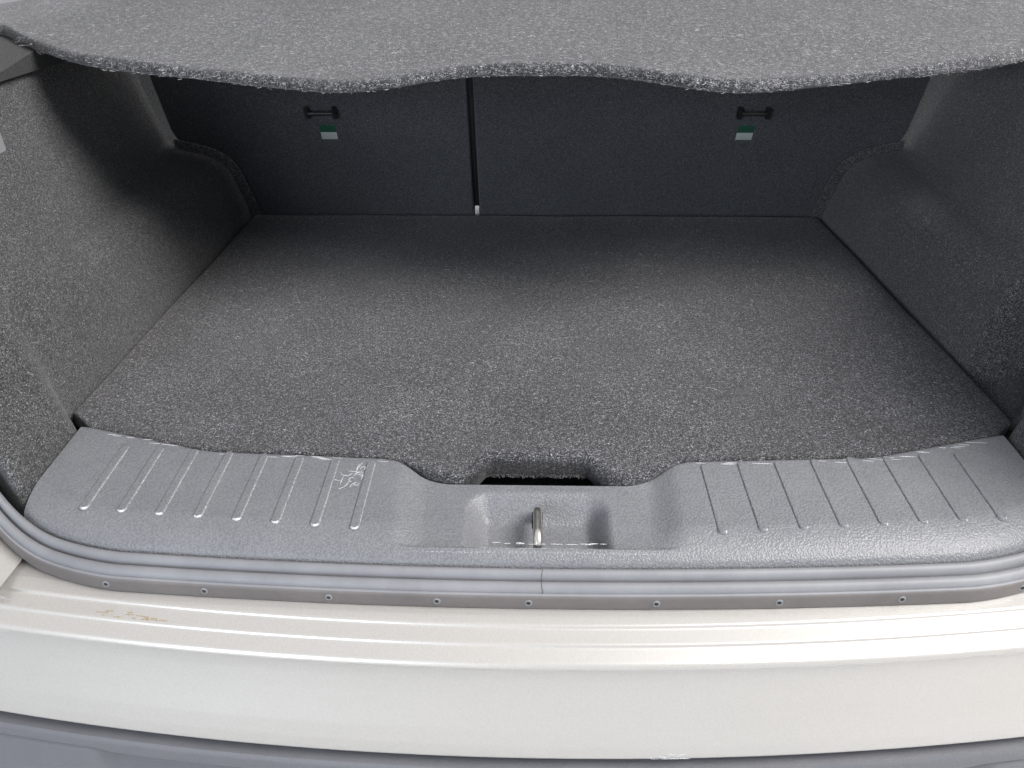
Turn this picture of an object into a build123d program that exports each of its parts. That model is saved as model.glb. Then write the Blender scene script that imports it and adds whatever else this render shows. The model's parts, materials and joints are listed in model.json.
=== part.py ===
from build123d import *
import math
import os

# Luggage compartment (boot) of a hybrid crossover, as a rear body section.
# Millimetres. X to the right, Y forward, Z up.
# The origin is the centre of the front crossmember's front face, which joins the section to the car.
# Every piece is one node: a closed solid, or like solids on one body.

os.makedirs("parts", exist_ok=True)

# Clearances
moving_gap = 5.0             # between a moving piece and what it passes
seat_gap = 0.3               # between a piece at rest and its seat
carpet_gap = 4.0             # round the load floor's edge

# Load space, measured on the photograph
floor_top = 130.0            # top of the carpeted load floor
board_thickness = 20.0
board_front_y = -121.0
board_corner = 28.0          # cut off the board's rear corners
scoop_half = 70.0            # finger scoop in the board's rear edge
scoop_length = 42.0
scoop_drop = 14.0
grip_half = 64.0
grip_y = -856.0              # front of the slot for the fingers

# Side trims
trim_half = 508.5            # half the width between them at floor level
trim_front_y = -122.0
trim_rear_y = -776.0
trim_wall = 6.0
ledge_z = 428.0              # their top, under the parcel shelf
pillar_low_z = 345.0         # lower edge of the pillar trim behind the shelf
flange_reach = 12.0          # felt flange that closes the gap beside the seat
pocket_front_y = -655.0      # storage pocket in the right-hand trim
pocket_low_z = 112.0
pocket_high_z = 268.0
pocket_x = 598.0

# Body shell
bow_radius = 3200.0          # the tail is a shallow arc across the car
section_front_y = 235.0
belt_z = 480.0
belt_half = 846.0
belt_cap = 8.0               # trim on the cut at the belt
belt_margin = 64.0           # painted edge outside that trim
quarter_inner = 660.0
body_low_z = -60.0
split_z = 84.0               # quarter panel above, bumper below
bumper_front_y = -604.0
door_rake = 95.0
bow_corner = 270.0

# Wheelhouse
wheel_y = -220.0
wheel_z = -260.0
arch_radius = 385.0          # wheel opening in the outer skin
arch_clear = 400.0           # inside of the wheelhouse
arch_lip_x = 862.0
wheelhouse_wall = 50.0
tower_radius = 470.0
tower_x = 530.0
liner_wall = 3.7
cladding_width = 55.0

# Floor
pan_z = -50.0
pan_thickness = 6.0
pan_half = 517.0
pan_rear_y = -930.0
well_half = 330.0
well_front_y = -170.0
well_rear_y = -720.0
well_depth = 140.0
well_corner = 40.0
bead_half = 14.0
bead_height = 4.0
cross_depth = 75.0
cross_low_z = -110.0
cross_margin = 17.0          # closed end walls of the crossmember
rail_x = 435.0
rail_width = 70.0
rail_rear_y = -955.0
beam_low_z = -30.0           # bumper beam
beam_height = 80.0
beam_rear_y = -1022.0
beam_half = 700.0
beam_depth = 34.0
crash_rear_y = -992.0        # crash boxes in line with the rails
crash_front_y = -945.5

# Seat backs
seat_pivot_y = -60.0
seat_pivot_z = 150.0
seat_base_radius = 57.6
seat_lean = 20.0
seat_length = 560.0
seat_half = 598.0
seat_foot_half = 500.0
seat_step = 128.0            # the wide part starts this far up from the pivot
seat_split_x = -103.0
split_gap = 10.0
panel_thickness = 14.0
cushion_inset = 4.0
pin_radius = 8.0
ear_radius = 24.0
ear_width = 6.0
rest_width = 230.0
rest_depth = 90.0
rest_height = 130.0
stay_length = 30.0
tether_x = 342.0
tether_z = 205.0

# Parcel shelf
shelf_edge_y = -584.0
shelf_edge_z = 442.0         # top of the rear edge in the middle
shelf_slope = 9.0
shelf_thickness = 13.0
shelf_front_y = -262.0
shelf_half = 718.0
niche_front_y = -250.0
niche_rear_y = -566.0
support_x = 612.0

# Tailgate opening and its seal
aperture_half = 560.0
aperture_top_half = 592.0
aperture_z = 100.0
aperture_corner = 130.0
seal_in = 14.0
seal_out = 12.0
seal_depth = 24.0

# Sill
sill_front_z = 134.0
sill_drop = 8.0              # the deck falls this much from front to rear
sill_front_y = -796.0
sill_rear_y = -958.0
sill_end_x = 475.0
sill_skirt = 38.0
sill_round = 11.0            # rear edge, rolled down to the seal
trim_skin = 3.5
rib_count = 8
rib_pitch = 36.0
rib_x = 162.0                # first rib on each side
rib_y = -896.0
rib_stagger = 3.0            # the ribs follow the sill's bow
rib_length = 92.0
rib_width = 6.0
rib_height = 1.0
recess_depth = 12.0
recess_half = 138.0
recess_floor_half = 106.0
striker_y = -924.0
striker_span = 46.0          # between the loop's legs
striker_wire = 4.25
striker_bend = 11.0
striker_drop = 10.0          # its top below the deck's front edge
striker_foot_z = 62.0
pocket_width = 134.0
pocket_length = 78.0
pocket_depth = 34.0
flange_z = 44.0              # top of the back panel's lower flange
flange_length = 71.0
panel_half = aperture_half + 60
panel_front_y = -966.0       # front of the panel's stepped ledge
panel_low_z = -44.0
panel_skin = 4.0

# Bumper
bumper_edge_y = -1043.0
bumper_low_y = -1058.0
cover_low_z = -34.0
cover_half = 894.0
cover_edge_z = 70.0
cover_skin = 8.0
ledge_width = 45.0           # from the bumper's upper edge to the back panel
panel_rear_y = bumper_edge_y + ledge_width - 1.0 + seat_gap
valance_low_z = -330.0
reflector_x = 630.0
reflector_z = -160.0
reflector_half = 72.0
reflector_rise = 15.0
lamp_depth = 45.0

# Body sections from the sill to the belt: height, half width, rear end at the middle, corner radius
body_sections = [
    (body_low_z, 884.0, -1028.0, bow_corner),
    (150.0, 897.0, -1020.0, bow_corner),
    (335.0, 890.0, -1002.0, 264.0),
    (belt_z, belt_half, -958.0, 248.0),
]
# Painted bumper: height, set in at the rear, set in at the sides. The steps of the loading ledge come last
cover_steps = [
    (cover_low_z, -9.0, 9.0),
    (-8.0, bumper_low_y - bumper_edge_y, 4.0),
    (cover_edge_z, 0.0, 0.0),
    (76.0, 3.0, 3.0),
    (79.0, 12.0, 12.0),
    (81.0, 13.5, 13.5),
    (83.5, 30.0, 30.0),
    (86.0, 32.0, 32.0),
    (87.7, ledge_width, ledge_width),
]
# Unpainted bumper: height, half width, rear end at the middle, corner radius
valance_sections = [
    (valance_low_z, 852.0, -992.0, 250.0),
    (-262.0, 874.0, -1040.0, 262.0),
    (-120.0, 899.0, -1078.0, bow_corner),
    (-58.0, 898.0, -1067.0, bow_corner),
    (cover_low_z, 896.0, -1065.0, 268.0),
]
# Front edge of the sill trim, right half from the middle: x, y, corner radius
sill_edge = [
    (98.0, -872.0, 34.0),
    (138.0, -845.0, 34.0),
    (330.0, -836.0, 700.0),
]
# Each band of the seal: from its rear edge, to, height inside the opening's edge
seal_bands = [
    (0.0, 6.0, 2.0),
    (6.0, 13.0, 9.0),
    (13.0, seal_depth, seal_in),
]
# Side trim where it meets the seat, and at its rear: x, z. Lines and arcs in turn
front_trim = [(509, 150), (519, 217), (548, 244), (598, 257), (612, 270), (617, 310), (622, ledge_z)]
rear_trim = [(510, 150), (515, 200), (525, 245), (541, 290), (557, 322), (577, 350), (622, ledge_z)]


def save(shape, node):
    export_step(shape, f"parts/{node}.step")


def block(x0, x1, y0, y1, z0, z1):
    """A box between two corners."""
    size = (x1 - x0, y1 - y0, z1 - z0)
    return Pos((x0 + x1) / 2, (y0 + y1) / 2, (z0 + z1) / 2) * Box(*size)


def polygon(points):
    return make_face(Polyline(*points, close=True))


def plan_slab(points, z0, z1):
    """A flat outline in plan, given a height."""
    return Pos(0, 0, z0) * extrude(polygon(points), z1 - z0)


def side_slab(points, x0, x1):
    """An outline of (y, z) points, given a width across the car."""
    face = Plane.YZ * polygon(points)
    return Pos(x0, 0, 0) * extrude(face, x1 - x0)


def mirrored(shape):
    return mirror(shape, Plane.YZ)


def across(radius, x0, x1, y, z):
    """A round bar across the car."""
    return Pos((x0 + x1) / 2, y, z) * (Rot(0, 90, 0) * Cylinder(radius, x1 - x0))


# Outer shape of the tail

def bow_rise(x):
    return bow_radius - math.sqrt(bow_radius ** 2 - x ** 2)


def footprint(z, half_width, rear_y, corner, front_y=section_front_y):
    """Plan outline of the tail at one height: bowed rear, round corners, straight sides."""
    corner_x = (half_width - corner) / (1 - corner / bow_radius)
    corner_y = rear_y + bow_rise(corner_x)
    start = math.asin(corner_x / bow_radius)
    centre_x = corner_x - corner * math.sin(start)
    centre_y = corner_y + corner * math.cos(start)
    half_turn = (start - math.pi / 2) / 2
    mid = (centre_x + corner * math.cos(half_turn), centre_y + corner * math.sin(half_turn))
    side = (half_width, centre_y)
    edges = [
        ThreePointArc((-corner_x, corner_y), (0, rear_y), (corner_x, corner_y)),
        ThreePointArc((corner_x, corner_y), mid, side),
        Line(side, (half_width, front_y)),
        Line((half_width, front_y), (-half_width, front_y)),
        Line((-half_width, front_y), (-side[0], side[1])),
        ThreePointArc((-side[0], side[1]), (-mid[0], mid[1]), (-corner_x, corner_y)),
    ]
    return Pos(0, 0, z) * make_face(edges)


def envelope(sections, inset=0.0):
    """The space inside the sections, or inside a skin that thick."""
    faces = []
    for z, half_width, rear_y, corner in sections:
        faces.append(footprint(z, half_width - inset, rear_y + inset, corner - inset))
    return loft(faces, ruled=True)


def tail_half(rear, low, high):
    """Everything behind a plane across the car, between two heights."""
    return block(-1000, 1000, -1200, rear, low, high)


def wheel_drum(radius, x0, x1):
    """A cylinder about the rear axle's line."""
    return across(radius, x0, x1, wheel_y, wheel_z)


# Structure under the floor

def make_crossmember():
    top = seat_pivot_z - seat_base_radius - moving_gap
    wall = pan_thickness
    beam = block(-pan_half, pan_half, -cross_depth, 0, cross_low_z, top)
    inner_half = pan_half - cross_margin
    return beam - block(-inner_half, inner_half, -cross_depth + wall, -wall, cross_low_z + wall, top - wall)


def make_floor_pan():
    """Pressed floor with the battery well, and five stiffening beads under the well."""
    wall = pan_thickness
    low = pan_z - well_depth
    plate = block(-pan_half, pan_half, pan_rear_y, -cross_depth, pan_z, pan_z + wall)
    well = block(-well_half, well_half, well_rear_y, well_front_y, low, pan_z + wall)
    well = fillet(well.edges().filter_by(Axis.Z), well_corner)
    inner_half = well_half - wall
    hollow = block(-inner_half, inner_half, well_rear_y + wall, well_front_y - wall, low + wall, pan_z + 50)
    hollow = fillet(hollow.edges().filter_by(Axis.Z), well_corner - wall)
    pan = plate + well - hollow
    bead_rear, bead_front = well_rear_y + 60, well_front_y - 60
    for index in range(-2, 3):
        x = index * well_half / 3
        pan += block(x - bead_half, x + bead_half, bead_rear, bead_front, low - bead_height, low)
    return pan


def make_battery():
    inset = pan_thickness + 20
    return block(-well_half + inset, well_half - inset, well_rear_y + inset, well_front_y - inset,
                 pan_z - well_depth + pan_thickness, pan_z - 2)


def make_leg():
    """Right-hand closed box rail under the floor."""
    half = rail_width / 2
    return block(rail_x - half, rail_x + half, rail_rear_y, -cross_depth - seat_gap, cross_low_z, pan_z)


def make_bumper_beam():
    """Bowed beam behind the bumper, with a crash box in line with each rail."""
    half = rail_width / 2
    inner_y = beam_rear_y + beam_depth
    low, high = beam_low_z + 5, beam_low_z + beam_height - 10
    outer = extrude(footprint(beam_low_z, beam_half, beam_rear_y, 40, -900), beam_height)
    beam = outer - extrude(footprint(beam_low_z, beam_half + 60, inner_y, 40, -800), beam_height)
    for x in (-rail_x, rail_x):
        beam += block(x - half, x + half, crash_rear_y, crash_front_y, low, high)
    return beam


# Wheelhouses and body sides

def make_wheelhouse():
    """Right-hand inner wheelhouse with the spring tower and the floor of the side box."""
    drum = wheel_drum(arch_clear + wheelhouse_wall, 600, quarter_inner)
    shell = drum & block(500, quarter_inner, -640, section_front_y, pan_z, ledge_z)
    tower = wheel_drum(tower_radius, tower_x, 600) & block(500, 600, -560, -62, pan_z, 300)
    side_floor = block(pan_half + 1, quarter_inner, -905, -560, pan_z, pan_z + pan_thickness)
    return (shell + tower + side_floor) - wheel_drum(arch_clear, 585, 700)


def make_arch_liner():
    """Right-hand liner inside the wheel arch."""
    radius = arch_clear - seat_gap
    liner = wheel_drum(radius, 600, arch_lip_x - seat_gap) - wheel_drum(radius - liner_wall, 500, 900)
    return liner & block(500, 900, -600, section_front_y - 55, body_low_z, 300)


def make_cladding():
    """Right-hand arch moulding, a raised rim round the wheel opening."""
    rim = wheel_drum(arch_radius + cladding_width, 872, 906) - wheel_drum(arch_radius - 4, 800, 1000)
    rim = rim & block(800, 1000, bumper_front_y + 9, section_front_y, body_low_z, 300)
    return rim - envelope(body_sections, inset=-0.5)


def aperture(offset):
    """The tailgate opening seen from behind, moved outwards by an offset, as a face in X and Z."""
    foot = aperture_z - offset
    side = aperture_half + offset
    top = aperture_top_half + offset
    centre = (aperture_half - aperture_corner, aperture_z + aperture_corner)
    reach = aperture_corner + offset
    mid = (centre[0] + reach * math.sqrt(0.5), centre[1] - reach * math.sqrt(0.5))
    over = belt_z + 50
    left = [(-top, over), (-top, belt_z), (-side, centre[1])]
    edges = [
        Line((-centre[0], foot), (centre[0], foot)),
        ThreePointArc((centre[0], foot), mid, (side, centre[1])),
        Polyline((side, centre[1]), (top, belt_z), (top, over), *left),
        ThreePointArc((-side, centre[1]), (-mid[0], mid[1]), (-centre[0], foot)),
    ]
    return make_face(edges)


def aperture_prism(offset):
    """The opening as a solid that runs the whole way back."""
    return Pos(0, -600, 0) * extrude(Plane.XZ * aperture(offset), 600)


def behind_seal(shift):
    """Everything behind the seal's rear edge in plan, moved forward by a shift: a bow with turned-in ends."""
    bow_end = (366, -981 + shift)
    turn_end = (512, -916 + shift)
    side = (720, -718 + shift)
    left_bow = (-bow_end[0], bow_end[1])
    left_turn = (-turn_end[0], turn_end[1])
    turn_mid = (446, -958 + shift)
    edges = [
        ThreePointArc(left_turn, (-turn_mid[0], turn_mid[1]), left_bow),
        ThreePointArc(left_bow, (0, -995 + shift), bow_end),
        ThreePointArc(bow_end, turn_mid, turn_end),
        Polyline(turn_end, side, (side[0], -1200), (-side[0], -1200), (-side[0], side[1]), left_turn),
    ]
    return extrude(make_face(edges), belt_z + 60)


def lamp_space(grow):
    """Space of the right-hand lamp: its outline from behind and its outline from the side."""
    rear = polygon([(712, 196), (700, 262), (704, 402), (1000, 440), (1000, 170)])
    side = polygon([(-1100, 186), (-925, 190), (-842, 262), (-796, 372), (-812, 398), (-1100, 410)])
    rear = offset(rear, grow, kind=Kind.INTERSECTION)
    side = offset(side, grow, kind=Kind.INTERSECTION)
    from_behind = Pos(0, -600, 0) * extrude(Plane.XZ * rear, 600)
    return from_behind & (Pos(600, 0, 0) * extrude(Plane.YZ * side, 400))


def make_tail_lamp():
    """Right-hand lamp, let into the body's corner."""
    body = envelope(body_sections, inset=-3) - envelope(body_sections, inset=lamp_depth)
    return body & lamp_space(0)


def make_quarter():
    """Right-hand body side: outer panel, inner panel and what is between them, as one wall."""
    body = envelope(body_sections)
    wall = body & block(quarter_inner, 1000, -1100, section_front_y, body_low_z, belt_z)
    wall = wall - block(600, 1000, -1100, bumper_front_y + 6, -100, split_z)
    pillar = body & block(440, quarter_inner + 1, -1100, -700, split_z + 8, belt_z) & behind_seal(6)
    wall = (wall + pillar) - aperture_prism(seal_out + 0.5)
    wall = wall - wheel_drum(arch_clear, 600, arch_lip_x) - wheel_drum(arch_radius, 800, 1000)
    top_y, past_y, above = section_front_y - door_rake, section_front_y + 10, belt_z + 1
    door_edge = [(top_y, above), (top_y + 35, 250), (section_front_y, 40), (past_y, 40), (past_y, above)]
    door_cut = side_slab(door_edge, 600, 1000)
    niche = block(600, shelf_half + 6, niche_rear_y, niche_front_y, ledge_z, belt_z + 1)
    pocket = lamp_space(0.5) - envelope(body_sections, inset=lamp_depth + 1)
    return wall - door_cut - niche - pocket


def make_back_panel():
    """Painted panel across the tail: the seal's flange, the wall below it and the floor's flange."""
    top = aperture_z - seal_out - seat_gap
    wall, front, rear = panel_skin, panel_front_y, panel_rear_y
    flange_end = front + flange_length
    profile = [
        (flange_end, flange_z - wall), (flange_end, flange_z), (front, flange_z), (front, top), (rear, top),
        (rear, top - 24), (rear + wall, top - 24), (rear + wall, top - wall), (front - wall, top - wall),
        (front - wall, panel_low_z), (front, panel_low_z), (front, flange_z - wall),
    ]
    centre_y = bow_radius + rear
    swing = math.degrees(math.asin(panel_half / bow_radius))
    panel = revolve(Plane.YZ * polygon(profile), Axis((0, centre_y, 0), (0, 0, 1)), 2 * swing)
    return Pos(0, centre_y, 0) * (Rot(0, 0, -swing) * (Pos(0, -centre_y, 0) * panel))


def cover_sections(skin, drop):
    """Sections of the painted bumper, or of its inside."""
    rows = []
    for z, rear_in, side_in in cover_steps:
        in_by = side_in + skin
        rows.append((z - drop, cover_half - in_by, bumper_edge_y + rear_in + skin, bow_corner - in_by))
    return rows


def make_bumper_cover():
    """Painted upper bumper with the stepped loading ledge up to the seal."""
    shell = envelope(cover_sections(0, 0)) - envelope(cover_sections(cover_skin, 4))
    shell = shell & tail_half(bumper_front_y, cover_low_z, aperture_z)
    low = cover_edge_z - 12
    under = ledge_width + 12
    inner = extrude(footprint(low, cover_half - under, bumper_edge_y + under, bow_corner - under), 40)
    to_panel = extrude(footprint(low, panel_half + 1, panel_rear_y - seat_gap, 1), 40)
    shell = shell - inner - to_panel
    for side in (-1, 1):
        x0, x1 = sorted((side * (quarter_inner - 1), side * 1000))
        shell = shell - block(x0, x1, -1200, 400, split_z - seat_gap, 200)
    return shell


def reflector_space(grow):
    return block(reflector_x - reflector_half - grow, reflector_x + reflector_half + grow, -1200, -800,
                 reflector_z - reflector_rise - grow, reflector_z + reflector_rise + grow)


def make_reflector():
    """Right-hand reflector, let into the lower bumper."""
    skin = envelope(valance_sections, inset=-1.5) - envelope(valance_sections, inset=5)
    return skin & reflector_space(0)


def make_valance():
    """Unpainted lower bumper with its step and the lip below."""
    outer = envelope(valance_sections)
    skin = cover_skin
    shell = outer - envelope([(z, w - skin, y + skin, c - skin) for z, w, y, c in valance_sections])
    shell = shell & tail_half(bumper_front_y, -400, 0)
    step = outer & tail_half(bumper_front_y, cover_low_z - 8, cover_low_z)
    step = step - extrude(footprint(cover_low_z - 9, 850.0, -1000.0, 230.0), 20)
    lip = outer & tail_half(bumper_front_y, valance_low_z, valance_low_z + 8)
    lip = lip - extrude(footprint(valance_low_z - 1, 792.0, -915.0, 200.0), 10)
    valance = shell + step + lip
    recess = reflector_space(seat_gap) - envelope(valance_sections, inset=5.5)
    return valance - recess - mirrored(recess)


# Load space

def side_form(top, out, past):
    """The space behind the right-hand side sheet, moved outboard, and a little longer at both ends."""
    foot = pan_z + pan_thickness

    def section(y, points, out, high):
        pts = [(x + out, z - (out / 2 if 200 < z < 400 else 0)) for x, z in points]
        pts[-1] = (pts[-1][0] + (high - ledge_z) * 0.08, high)
        back = quarter_inner - seat_gap
        edges = [
            Line((trim_half + out, foot), pts[0]),
            ThreePointArc(pts[0], pts[1], pts[2]),
            Line(pts[2], pts[3]),
            ThreePointArc(pts[3], pts[4], pts[5]),
            Polyline(pts[5], pts[6], (back, high), (back, foot), (trim_half + out, foot)),
        ]
        return Pos(0, y, 0) * (Plane.XZ * make_face(edges))

    front = section(trim_front_y + past, front_trim, out, top)
    rear = section(trim_rear_y - past, rear_trim, out, top)
    return loft([front, rear], ruled=True)


def side_shell(top, cap):
    """Sheet along the right-hand side of the load space, with a cap of some thickness or none."""
    return side_form(top, 0, 0) - side_form(top - cap, trim_wall, 1)


def corner_return():
    """Right-hand rear return of the side trim, from its ridge to the seal, up to the belt."""
    sections = [
        (60, [(508.5, -770), (478, -797), (478, -911), (516, -880), (655, -754), (655, -740)]),
        (sill_front_z, [(508.5, -770), (478, -797), (478, -911), (516, -880), (655, -754), (655, -740)]),
        (250, [(526, -770), (523, -797), (545, -836), (560, -824), (655, -754), (655, -740)]),
        (ledge_z, [(622, -770), (604, -790), (600, -806), (608, -800), (655, -754), (655, -740)]),
        (belt_z, [(626, -770), (609, -790), (607, -804), (612, -800), (655, -754), (655, -740)]),
    ]
    faces = [Pos(0, 0, z) * polygon(points) for z, points in sections]
    return loft(faces, ruled=True) & block(400, 700, -1000, trim_rear_y, 0, 500)


def above_side_trim(gap):
    """Region of the pillar trim, seen from the side."""
    rear, front = -1000, niche_rear_y - gap
    low, above = pillar_low_z + gap, belt_z + 1
    outline = [(front, above), (front, ledge_z + gap), (niche_rear_y - 34, low), (rear, low), (rear, above)]
    return side_slab(outline, 400, 700)


def seat_flange():
    """Felt flange on the right-hand side trim, behind the seat's edge."""
    profile = [(trim_half, pan_z)] + front_trim + [(700, ledge_z), (700, pan_z)]
    inner = Pos(0, -80, 0) * extrude(Plane.XZ * polygon(profile), 200)
    grown = [(x - flange_reach, z + (flange_reach if x > 540 else 0)) for x, z in profile[:-2]]
    outer = Pos(0, -80, 0) * extrude(Plane.XZ * polygon(grown + profile[-2:]), 200)
    hidden = Pos(trim_wall - 1, 0, 1 - trim_wall) * inner
    near, far = seat_base_radius + moving_gap, seat_base_radius + moving_gap + 3
    sheet = seat_frame() * block(-700, 700, -far, -near, -100, 600)
    return (outer - hidden) & sheet & block(0, 700, -300, 0, sill_front_z + 8, 262)


def pocket_space(grow):
    """Storage pocket in the right-hand trim, or the shell round it."""
    size_y = pocket_front_y - trim_rear_y - 12
    size_z = pocket_high_z - pocket_low_z
    middle = ((pocket_front_y + trim_rear_y + 12) / 2, (pocket_low_z + pocket_high_z) / 2)
    face = Pos(*middle) * RectangleRounded(size_y + 2 * grow, size_z + 2 * grow, 30 + grow)
    return Pos(480, 0, 0) * extrude(Plane.YZ * face, pocket_x + grow - 480)


def make_side_trim(pocket):
    """Right-hand carpeted moulding over the wheelhouse, with its rear return, and a pocket or none."""
    trim = side_shell(ledge_z, trim_wall)
    if pocket:
        trim = trim + (pocket_space(trim_wall) & side_form(ledge_z, 0, 0)) - pocket_space(0)
    trim = trim + corner_return() + seat_flange()
    return trim - above_side_trim(0)


def make_pillar_trim():
    """Right-hand plastic trim above the side trim, with the cap on the belt."""
    wall = (side_shell(belt_z, 0) + corner_return()) & above_side_trim(seat_gap)
    z, half, rear, corner = body_sections[-1]
    cap = extrude(footprint(z, half - belt_margin, rear + belt_margin, corner - belt_margin), belt_cap)
    cap = cap & block(quarter_inner - 56, 1000, -1100, section_front_y - door_rake, 0, 600)
    cap = cap - block(0, shelf_half + 7, niche_rear_y - 1, niche_front_y + 1, 0, 600)
    cap = cap - block(0, quarter_inner + 2, niche_front_y, section_front_y, 0, 600)
    return wall + cap - aperture_prism(seal_out + 1)


def make_shelf_support():
    """Right-hand ledge that carries the parcel shelf."""
    low = shelf_thickness + seat_gap
    y0, y1 = niche_rear_y + 6, shelf_front_y - 22
    points = [(y0, ledge_z), (y1, ledge_z), (y1, shelf_top_z(y1) - low), (y0, shelf_top_z(y0) - low)]
    return side_slab(points, support_x, shelf_half + 6 - seat_gap)


def shelf_top_z(y):
    return shelf_edge_z + (y - shelf_edge_y) * math.tan(math.radians(shelf_slope))


def make_shelf():
    """Felt board with a waved rear edge."""
    half = shelf_half
    wave = [(62, -551), (106, -564), (144, -583), (206, -603), (268, -592), (345, -570), (432, -548),
            (560, -492), (650, -428)]
    edges = [Line((-wave[0][0], wave[0][1]), wave[0])]
    for side in (-1, 1):
        points = [(side * x, y) for x, y in wave]
        for index in range(0, len(points) - 2, 2):
            edges.append(ThreePointArc(*points[index:index + 3]))
        edges.append(Polyline(points[-1], (side * (half - 18), -385), (side * half, -345),
                              (side * half, shelf_front_y - 26), (side * (half - 26), shelf_front_y)))
    edges.append(Line((half - 26, shelf_front_y), (26 - half, shelf_front_y)))
    tall = Pos(0, 0, 300) * extrude(make_face(edges), 300)
    y0, y1 = -700, -200
    sheet = side_slab([(y0, shelf_top_z(y0) - shelf_thickness), (y1, shelf_top_z(y1) - shelf_thickness),
                       (y1, shelf_top_z(y1)), (y0, shelf_top_z(y0))], -half - 1, half + 1)
    return tall & sheet


def make_tray():
    """Foam tray under the load floor, with three bins."""
    plan = [(498, -128), (498, -773), (468, -792), (424, -808), (330, -828), (0, -838)]
    left = [(-x, y) for x, y in reversed(plan) if x > 0]
    body = plan_slab(plan + left, pan_z + pan_thickness, floor_top - board_thickness - seat_gap)
    for x0, x1 in ((-465, -170), (-150, 150), (170, 465)):
        hole = extrude(RectangleRounded(x1 - x0, 600, 24), 200)
        body = body - Pos((x0 + x1) / 2, -470, 20) * hole
    return body


# Sill

def sill_front(shift):
    """Front edge of the sill trim from left to right, moved forward by a shift."""
    points = [(sill_end_x, sill_front_y + shift)] + [(x, y + shift) for x, y, r in reversed(sill_edge)]
    points += [(-x, y + shift) for x, y, r in sill_edge] + [(-sill_end_x, sill_front_y + shift)]
    radii = [r for x, y, r in reversed(sill_edge)] + [r for x, y, r in sill_edge]
    return FilletPolyline(*points, radius=radii)


def sill_deck(inset, round_edge):
    """The sill trim's outer form, or its inside: sloping deck, rear edge rolled down to the seal."""
    half = sill_end_x - inset
    line = sill_front(-inset)
    back = Polyline((-sill_end_x, sill_front_y - inset), (-sill_end_x, -1000), (sill_end_x, -1000),
                    (sill_end_x, sill_front_y - inset))
    low = sill_front_z - sill_skirt
    plan = Pos(0, 0, low - inset) * extrude(make_face([line, back]), 60)
    deck = plan & deck_profile(-inset, low - inset) & block(-half, half, -1100, 0, 0, 300)
    deck = deck - behind_seal(seal_depth + seat_gap + inset)
    rear = deck.edges().filter_by(lambda e: e.center().Y < -925 and e.center().Z > 110)
    rear = rear.filter_by(lambda e: abs(e.center().X) < half - 4)
    return chamfer(rear, round_edge) if inset else fillet(rear, round_edge)


def deck_profile(rise, low):
    """Everything under the deck's slope."""
    run = sill_front_y - sill_rear_y
    slope = sill_drop / run
    y0, y1 = -700, -1000
    z0 = sill_front_z + (y0 - sill_front_y) * slope + rise
    z1 = sill_front_z + (y1 - sill_front_y) * slope + rise
    return side_slab([(y0, low), (y0, z0), (y1, z1), (y1, low)], -600, 600)


def recess_form(grow):
    """Centre recess with sloping sides, or the moulding under it."""
    top, floor = sill_front_z + 2, sill_front_z - recess_depth
    wide, narrow = recess_half + grow, recess_floor_half + grow
    rear = sill_rear_y + 12 - grow
    upper = [(-wide - 2, -790), (wide + 2, -790), (wide - 6, rear - 3), (6 - wide, rear - 3)]
    lower = [(-narrow, -790), (narrow, -790), (narrow - 3, rear + 9), (3 - narrow, rear + 9)]
    return loft([Pos(0, 0, top) * polygon(upper), Pos(0, 0, floor - grow) * polygon(lower)], ruled=True)


def striker_pocket(grow):
    """Cup round the latch striker, or the moulding under it."""
    top, floor = sill_front_z + 2, sill_front_z - pocket_depth - grow
    wide, long = pocket_width + 2 * grow, pocket_length + 2 * grow
    mouth = RectangleRounded(wide, long, 16 + grow)
    bottom = RectangleRounded(wide - 22, long - 18, 12 + grow)
    form = loft([Pos(0, 0, top) * mouth, Pos(0, 0, floor) * bottom], ruled=True)
    return Pos(0, striker_y + 5, 0) * form


def make_sill_trim():
    """Moulded scuff panel: a skin with scuff ribs, centre recess, striker pocket and clip towers."""
    outer = sill_deck(0, sill_round)
    trim = outer - sill_deck(trim_skin, sill_round - trim_skin)
    trim = trim + ((recess_form(trim_skin) + striker_pocket(trim_skin)) & outer)
    trim = trim - recess_form(0) - striker_pocket(0)
    low = sill_front_z - sill_skirt
    trim = trim - block(-8, 8, striker_y - 30, striker_y + 31, 0, sill_front_z - recess_depth - 3)
    raised = deck_profile(rib_height, sill_front_z - recess_depth)
    for side in (-1, 1):
        for index in range(rib_count):
            place = Pos(side * (rib_x + index * rib_pitch), rib_y + index * rib_stagger, sill_front_z - 12)
            slot = extrude(Rot(0, 0, 90) * SlotOverall(rib_length, rib_width), 30)
            trim = trim + (place * slot & raised)
    for x, y in ((-400, -905), (-250, -920), (250, -920), (400, -905)):
        height = low + 30 - flange_z
        trim = trim + Pos(x, y, flange_z + height / 2) * Cylinder(8, height)
    return trim


def make_load_floor():
    """Carpeted board with the finger scoop in its rear edge."""
    half = trim_half - moving_gap
    line = sill_front(carpet_gap)
    edge_y, corner_y = sill_front_y + carpet_gap, sill_front_y + board_corner
    back = Polyline((-sill_end_x, edge_y), (-half, corner_y), (-half, board_front_y), (half, board_front_y),
                    (half, corner_y), (sill_end_x, edge_y))
    board = Pos(0, 0, floor_top - board_thickness) * extrude(make_face([line, back]), board_thickness)
    rear = sill_edge[0][1] - 8
    above = floor_top + 1
    wedge = [(rear + scoop_length, above), (rear, above), (rear, floor_top - scoop_drop)]
    scoop = side_slab(wedge, -scoop_half, scoop_half)
    return board - scoop - block(-grip_half, grip_half, rear - 20, grip_y, 0, 300)


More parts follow.
